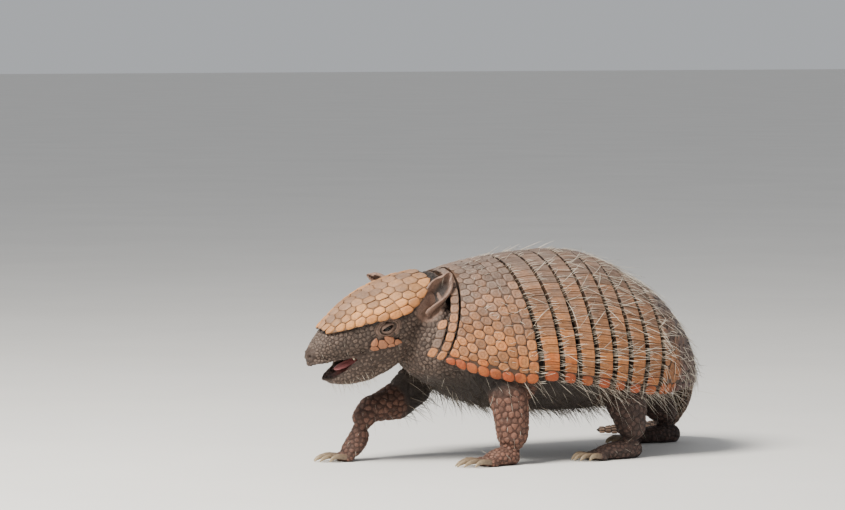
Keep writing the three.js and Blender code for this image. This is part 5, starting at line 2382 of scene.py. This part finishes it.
@dataclass
class Claws:
    """The blunt, slightly arched claws, five on each foot."""

    rings: int = 26
    sides: int = 20

    def place(self, leg: Leg, ahead: Array, aside: Array, up: Array) -> Array:
        """From a foot's coordinates to the drawing's; a pitched foot stands on its toes.

        Args:
            leg: The leg.
            ahead: How far ahead of the ankle.
            aside: How far to the foot's left.
            up: How high.

        Returns:
            The points.
        """
        turn, pitch = math.radians(leg.heading), math.radians(leg.pitch)
        forward = np.array([math.cos(turn), math.sin(turn), 0])
        left = np.array([-forward[1], forward[0], 0])
        behind = np.minimum(ahead - 0.75 * leg.length, 0)
        x = ahead - behind + behind * math.cos(pitch)
        z = up - behind * math.sin(pitch)
        flat = np.array([leg.at[0], leg.at[1], 0]) + x[..., None] * forward + aside[..., None] * left
        return flat + z[..., None] * np.array([0, 0, 1])

    def claw(self, draft: Draft, leg: Leg, across: float, seed: int) -> None:
        """Adds one claw.

        Args:
            draft: The piece.
            leg: The leg.
            across: The toe's place across the foot, -1 to 1.
            seed: Which ridges.
        """
        toe = 1 - 0.32 * across**2
        reach, size = leg.length + leg.toe * toe, leg.claw * toe
        aside = across * (leg.width - 2.5)
        ahead, up = np.array([[-6, 3.6], [size * 0.4, 4.8], [size * 0.8, 3.2], [size, 0.9]]).T
        share = np.linspace(0, 1, self.rings)
        line = curve_through(self.place(leg, reach + ahead, aside * (1 + ahead / 90), up), share)
        ahead = unit(np.gradient(line, axis=0))
        side = unit(np.cross(ahead, [0, 0, 1]))
        turn = np.linspace(0, math.tau, self.sides, endpoint=False)
        c, s = np.cos(turn), np.sin(turn)
        tall = CLAW_RADIUS * (1 - 0.8 * share**1.6)
        wide = CLAW_RADIUS * 0.82 * (1 - 0.85 * share**1.4)
        keel = 1 + 0.16 * np.maximum(s, 0)[None] ** 3 - 0.3 * np.maximum(-s, 0)[None] ** 2
        ridge = 1 + 0.03 * np.cos(turn * 7 + seed)[None] + 0.03 * np.sin(share * 40 + seed)[:, None]
        points = line[:, None] + side[:, None] * (wide[:, None] * c[None] * ridge)[..., None]
        points = points + np.cross(side, ahead)[:, None] * (tall[:, None] * s[None] * keel * ridge)[..., None]
        points[..., 2] = np.maximum(points[..., 2], 0.05 + 0.2 * (s[None] > -0.5))
        add_tube(draft, points, flank=share)

    def build(self, material: bpy.types.Material) -> None:
        """Builds the claws, a piece for each foot.

        Args:
            material: Their finish.
        """
        for k, leg in enumerate(LEGS):
            draft = Draft("flank")
            for j, across in enumerate(TOE_ROW):
                self.claw(draft, leg, across, 5 * k + j)
            nodes = (f"claw_{leg.name}_{i + 1}" for i in range(len(TOE_ROW)))
            draft.finish(f"claws_{leg.name}", material, "claw", *nodes)


# ---- bristles


@dataclass
class Coat:
    """The bristles of the shell, its fringe, the belly's coat and the hairs of the legs and the face."""

    material: bpy.types.Material
    steps: int = 5
    map_patch: float = 0.003
    widest: float = 99.0
    turn_reach: float = 85.0

    def grow(self, name: str, lines: Array, roots: Array, radius: Array, shade: Array, seed: int) -> None:
        """Builds a piece of hairs, each a closed three-sided tube that tapers to a point.

        Args:
            name: The piece's name.
            lines: The hairs' middle lines, by hair and step.
            roots: Their places on the bake map.
            radius: Their thickness at the root, in millimetres.
            shade: How dark each is.
            seed: Which random tones.
        """
        hairs, rows = lines.shape[:2]
        rng = np.random.default_rng(seed)
        ahead = unit(np.gradient(lines, axis=1))
        side = unit(np.cross(ahead, unit(rng.normal(size=(hairs, 1, 3)))))
        share = np.linspace(0, 1, rows)
        thick = radius[:, None] * (0.75 + 0.5 * share - 1.2 * share**2)[None]
        turn = around(3)
        ring = side[:, :, None] * np.cos(turn)[:, None] + np.cross(ahead, side)[:, :, None] * np.sin(turn)[:, None]
        tubes = (lines[:, :-1, None] + ring[:, :-1] * thick[:, :-1, None, None]).reshape(hairs, -1, 3)
        flank = np.append(np.repeat(share[:-1], 3), 1.0)
        across = np.append(np.tile(np.arange(3) / 2, rows - 1), 0.5)
        place = roots[:, None] + np.stack([flank, across], -1)[None] * self.map_patch
        draft = Draft("shade", "flank", "tone")
        draft.add(np.concatenate([tubes, lines[:, -1:]], axis=1), boss_faces(hairs, rows - 1, 3),
                  np.clip(place, 0, 1), 1, shade=shade[:, None], tone=rng.random(hairs)[:, None], flank=flank)
        hand_over(draft.build(name), self.material, "hair")

    def over_shell(self, name: str, root: tuple[Array, Array], length: Array, slant: Array, rise: Array,
                   radius: Array, seed: int) -> None:
        """Builds hairs that leave the shell at a place and lie back over it.

        Args:
            name: The piece's name.
            root: Where each is rooted: its station along the body and its angle from the crown.
            length: Its length.
            slant: The angle between the hair and the body's length; positive slants to the right side.
            rise: How high over the shell its tip stands, as a share of its length.
            radius: Its thickness.
            seed: Which random draws.
        """
        rng = np.random.default_rng(seed)
        station, angle = root
        share = np.linspace(0, 1, self.steps + 1)[None]
        way = slant[:, None] + rng.normal(0, 0.16, (len(station), 1)) * share
        reach = length[:, None] * share
        lifts = -1.6 + 2.4 * np.minimum(share * 4, 1) + (rise * length)[:, None] * share**1.4
        stations = station[:, None] + reach * np.cos(way)
        lines = body_point(stations, angle[:, None] + reach * np.sin(way) / self.turn_reach, lifts)
        roots = np.stack([0.01 + 0.97 * (station + 190) / 400, 0.01 + 0.97 * (angle / 5.2 + 0.5)], -1)
        self.grow(name, lines, roots, radius, 0.25 * rng.random(len(station)), seed + 1)

    def gaps(self) -> None:
        """Grows the short bristles that cross every gap between the bands, and the long ones between them."""
        rng = np.random.default_rng(500)
        rows, longs = [], []
        for k, x in enumerate(BAND_EDGES):
            reach = float(margin_angle(np.array(x)))
            spots = np.arange(-reach, reach, 2.3 / 85)
            spots = spots + rng.normal(0, 0.008, len(spots))
            spots = spots[rng.random(len(spots)) < 0.45 + 0.5 * fade(np.abs(spots) / reach, 0.1, 0.6)]
            spots = spots[np.abs(spots) < reach]
            rows.append(np.stack([band_edge(x, -1)(spots) + 0.4, spots]))
            spots = rng.uniform(-reach, reach, 8 + 10 * k)
            longs.append(np.stack([band_edge(x, -1)(spots) + 0.5, spots]))
        short, long = np.concatenate(rows, axis=1), np.concatenate(longs, axis=1)
        count = short.shape[1]
        self.over_shell("bristles_short", short, rng.uniform(6, 12.5, count), rng.normal(0, 0.22, count),
                        rng.uniform(0.05, 0.2, count), rng.uniform(0.2, 0.28, count), 501)
        count = long.shape[1]
        length = rng.uniform(16, 40, count)
        slant = rng.normal(0, 0.6, count) + np.sign(long[1]) * 0.15
        rise = 0.06 + 0.4 * rng.random(count) ** 2.2
        self.over_shell("bristles_long", long, length, slant, rise, rng.uniform(0.2, 0.27, count), 502)

    def rump(self) -> None:
        """Grows the hairs of the shield of the pelvis, and a few between the scutes of the shoulders."""
        rng = np.random.default_rng(510)
        count = 420
        tilt = rng.uniform(2, 56, count)
        angle = rng.uniform(-1, 1, count) * rump_margin_angle(tilt) * 0.98
        self.over_shell("bristles_rump", (PIVOT_X + RUMP_PACE * tilt, angle), rng.uniform(9, 26, count),
                        rng.normal(0, 0.5, count), 0.06 + 0.32 * rng.random(count) ** 2,
                        rng.uniform(0.19, 0.26, count), 511)
        count = 90
        station = rng.uniform(-105, -66, count)
        angle = rng.uniform(-1, 1, count) * margin_angle(station) * 0.97
        self.over_shell("bristles_shoulder", (station, angle), rng.uniform(5, 13, count),
                        rng.normal(0, 0.5, count), rng.uniform(0.06, 0.25, count),
                        rng.uniform(0.16, 0.2, count), 512)

    def free(self, name: str, points: Array, ways: Array, length: Array, droop: Array, radius: Array,
             shade: Array, seed: int) -> None:
        """Builds hairs that leave the body in a direction and sink under their weight.

        Args:
            name: The piece's name.
            points: Their roots.
            ways: The directions that they leave in.
            length: Their lengths.
            droop: How far each tip sinks, as a share of its length.
            radius: Their thickness.
            shade: How dark each is.
            seed: Which random tones.
        """
        rng = np.random.default_rng(seed)
        share = np.linspace(0, 1, self.steps + 1)[None, :, None]
        sway = rng.normal(0, 0.13, (len(points), 1, 3)) * share**2
        down = np.array([0, 0, -1]) * droop[:, None, None] * share**2
        lines = points[:, None] + length[:, None, None] * (unit(ways)[:, None] * share + sway + down)
        lines[..., 1] = np.maximum(lines[..., 1], -self.widest)
        lines[..., 2] = np.maximum(lines[..., 2], 0.4)
        self.grow(name, lines, face_map(points), radius, shade, seed)

    def fringe(self) -> None:
        """Grows the long pale hairs that hang from under the shell's margin."""
        rng = np.random.default_rng(520)
        station = rng.uniform(-108, 128, 330)
        keep = rng.random(330) < 0.3 + 0.6 * fade(station, -60, 20) - 0.35 * fade(station, 70, 110)
        station = station[keep]
        count = len(station)
        side = rng.choice([-1.0, 1.0], count)
        tilt = np.clip((station - PIVOT_X) / RUMP_PACE, 0, RUMP_LAST)
        upright = margin_angle(np.minimum(station, PIVOT_X))
        reach = np.where(station > PIVOT_X, rump_margin_angle(tilt), upright) - rng.uniform(-0.02, 0.1, count)
        points = body_point(station, side * reach, rng.uniform(-7.5, -4.5, count))
        back, aside = rng.normal(0.75, 0.35, count), side * rng.normal(0.14, 0.12, count)
        ways = np.stack([back, aside, rng.normal(-0.75, 0.28, count)], axis=1)
        self.free("hair_fringe", points, ways, rng.uniform(14, 42, count), rng.uniform(-0.25, 0.2, count),
                  rng.uniform(0.16, 0.24, count), 0.3 * rng.random(count), 521)

    def belly_gap(self, points: Array, normals: Array, parts: dict[str, Array]) -> Array:
        """Spaces the hairs of the belly, the chest and the sides under the shell.

        Args:
            points: Points of the skin.
            normals: Not used.
            parts: The masks there.

        Returns:
            The distance between hairs at each point; zero where there are none.
        """
        bare = (parts["leg"] < 0.3) & (parts["face"] < 0.2) & (points[:, 2] < 92) & (points[:, 0] > -132)
        return np.where(bare, 3.0, 0.0)

    def limb_gap(self, points: Array, normals: Array, parts: dict[str, Array]) -> Array:
        """Spaces the hairs of the legs, the throat and the face.

        Args:
            points: Points of the skin.
            normals: Not used.
            parts: The masks there.

        Returns:
            The distance between hairs at each point; zero where there are none.
        """
        _, _, up = head_coordinates(points)
        gap = np.where((parts["leg"] > 0.4) & (points[:, 2] > 9), 8.0, 0.0)
        gap = np.where(parts["neck"] > 0.5, 9.0, gap)
        gap = np.where((parts["face"] > 0.5) & (up < -12), 11.0, gap)
        return np.where(self.chin(points, parts), 3.4, gap) * (parts["wet"] < 0.1)

    def chin(self, points: Array, parts: dict[str, Array]) -> Array:
        """Whether points of the skin, with the masks there, lie on the chin."""
        along, _, up = head_coordinates(points)
        return (parts["face"] > 0.5) & (up < -45) & (along > 84)

    def belly(self, skin: bpy.types.Object, rng: np.random.Generator) -> None:
        """Grows the coarse dark coat of the belly and the chest.

        Args:
            skin: The skin.
            rng: Draws the hairs.
        """
        ground, _ = sample(skin, self.belly_gap, 3.0, 530)
        count = len(ground.points)
        back = np.array([0.9, 0, -0.45])
        flat = back - ground.normals * (ground.normals @ back)[:, None]
        ways = flat + ground.normals * rng.uniform(0.25, 0.65, (count, 1)) + rng.normal(0, 0.22, (count, 3))
        pale = rng.random(count) < 0.08
        length = np.where(pale, rng.uniform(14, 26, count), rng.uniform(9, 20, count))
        self.free("hair_belly", ground.points - ground.normals * 0.5, ways, length, rng.uniform(0, 0.3, count),
                  rng.uniform(0.2, 0.3, count), np.where(pale, 0.2, 0.94), 532)

    def limbs(self, skin: bpy.types.Object, rng: np.random.Generator) -> None:
        """Grows the sparse hairs of the legs and the face, and the beard of the chin.

        Args:
            skin: The skin.
            rng: Draws the hairs.
        """
        ground, _ = sample(skin, self.limb_gap, 3.0, 540)
        count, face = len(ground.points), ground.parts["face"] > 0.5
        down = np.where(face[:, None], np.array([[0.35, 0, -0.8]]), np.array([[0.25, 0, -1]]))
        flat = down - ground.normals * np.sum(ground.normals * down, axis=1, keepdims=True)
        ways = flat + ground.normals * rng.uniform(0.3, 0.7, (count, 1)) + rng.normal(0, 0.15, (count, 3))
        chin = self.chin(ground.points, ground.parts)
        on_chin, on_face, elsewhere = (rng.uniform(*limits, count) for limits in ((6, 12), (2.5, 7), (5, 12)))
        length = np.where(chin, on_chin, np.where(face, on_face, elsewhere))
        radius = np.where(chin, 0.17, np.where(face, 0.1, 0.14))
        # Painted shade: hairs rooted on the skin's painted-shade places are darker.
        self.free("hair_legs", ground.points - ground.normals * 0.4, ways, length, rng.uniform(0, 0.2, count),
                  radius, np.where(ground.parts["shade"] > 0.4, 0.5, 0.12), 541)

    def build(self, skin: bpy.types.Object) -> None:
        """Grows the whole coat.

        Args:
            skin: The skin.
        """
        self.gaps()
        self.rump()
        self.fringe()
        rng = np.random.default_rng(531)
        self.belly(skin, rng)
        self.limbs(skin, rng)


# ---- studio


@dataclass
class Studio:
    """The floor, the lights and the camera."""

    azimuth: float = -30.0
    elevation: float = 3.0
    distance: float = 4.0
    target: tuple[float, float, float] = (-101.6, 58.6, 184)
    lens: float = 185.2
    sky: float = 0.5
    key_energy: float = 170.0
    key_size: float = 1.0
    fill_energy: float = 8.0

    def floor(self, material: bpy.types.Material) -> None:
        """Lays the floor.

        Args:
            material: Its finish.
        """
        bpy.ops.object.select_all(action="DESELECT")
        bpy.ops.mesh.primitive_plane_add(size=60, location=(0, 0, 0))
        floor = bpy.context.object
        floor.name = "floor"
        floor.data.materials.append(material)

    def light(self, name: str, toward: Sequence[float], distance: float, size: float, energy: float,
              colour: Sequence[float]) -> None:
        """Hangs an area light that looks at the animal's middle.

        Args:
            name: The light's name.
            toward: From the animal to the light.
            distance: How far off it hangs, in metres.
            size: Its side, in metres.
            energy: Its power, in watts.
            colour: Its colour.
        """
        away = Vector(toward).normalized()
        lamp = bpy.data.lights.new(name, "AREA")
        lamp.size, lamp.energy, lamp.color = size, energy, colour
        hung = place_object(name, lamp)
        hung.location = Vector((0, 0, 0.1)) + away * distance
        hung.rotation_euler = away.to_track_quat("Z", "Y").to_euler()

    def camera(self) -> None:
        """Sets up the camera."""
        turn, rise = math.radians(self.azimuth), math.radians(self.elevation)
        back = Vector((math.sin(turn) * math.cos(rise), -math.cos(turn) * math.cos(rise), math.sin(rise)))
        data = bpy.data.cameras.new("camera")
        data.lens, data.sensor_width, data.clip_end = self.lens, 36, 100
        camera = place_object("camera", data)
        camera.location = Vector((np.array(self.target) + SHIFT) * MM) + back * self.distance
        camera.rotation_euler = back.to_track_quat("Z", "Y").to_euler()
        bpy.context.scene.camera = camera

    def build(self) -> None:
        """Sets everything up."""
        self.floor(Finish.FLOOR.made())
        world = bpy.data.worlds.new("studio")
        world.use_nodes = True
        sky = world.node_tree.nodes["Background"]
        sky.inputs["Color"].default_value = (0.93, 0.96, 1, 1)
        sky.inputs["Strength"].default_value = self.sky
        bpy.context.scene.world = world
        self.light("key", (-0.72, -0.2, 0.85), 2.6, self.key_size, self.key_energy, (1, 0.97, 0.9))
        self.light("fill", (0.7, -1, 0.4), 3.2, 2.5, self.fill_energy, (0.9, 0.95, 1))
        self.camera()


# ---- the whole animal


def main() -> None:
    """Builds the animal and its studio."""
    logging.basicConfig(level=logging.INFO, format="%(name)s: %(message)s")
    Shell().build(Finish.SHELL.made())
    HeadShield().build(Finish.HEAD.made())
    TailArmour().build(Finish.TAIL.made())
    skin = Skin().build(Finish.HIDE.made())
    HideScales().build(skin, bvh_of(skin), Finish.HIDE.made())
    Eyes().build(Finish.EYE.made())
    Mouth().build(Finish.TONGUE.made(), Finish.TOOTH.made())
    Claws().build(Finish.CLAW.made())
    Coat(Finish.HAIR.made()).build(skin)
    Studio().build()


if __name__ == "__main__":
    main()
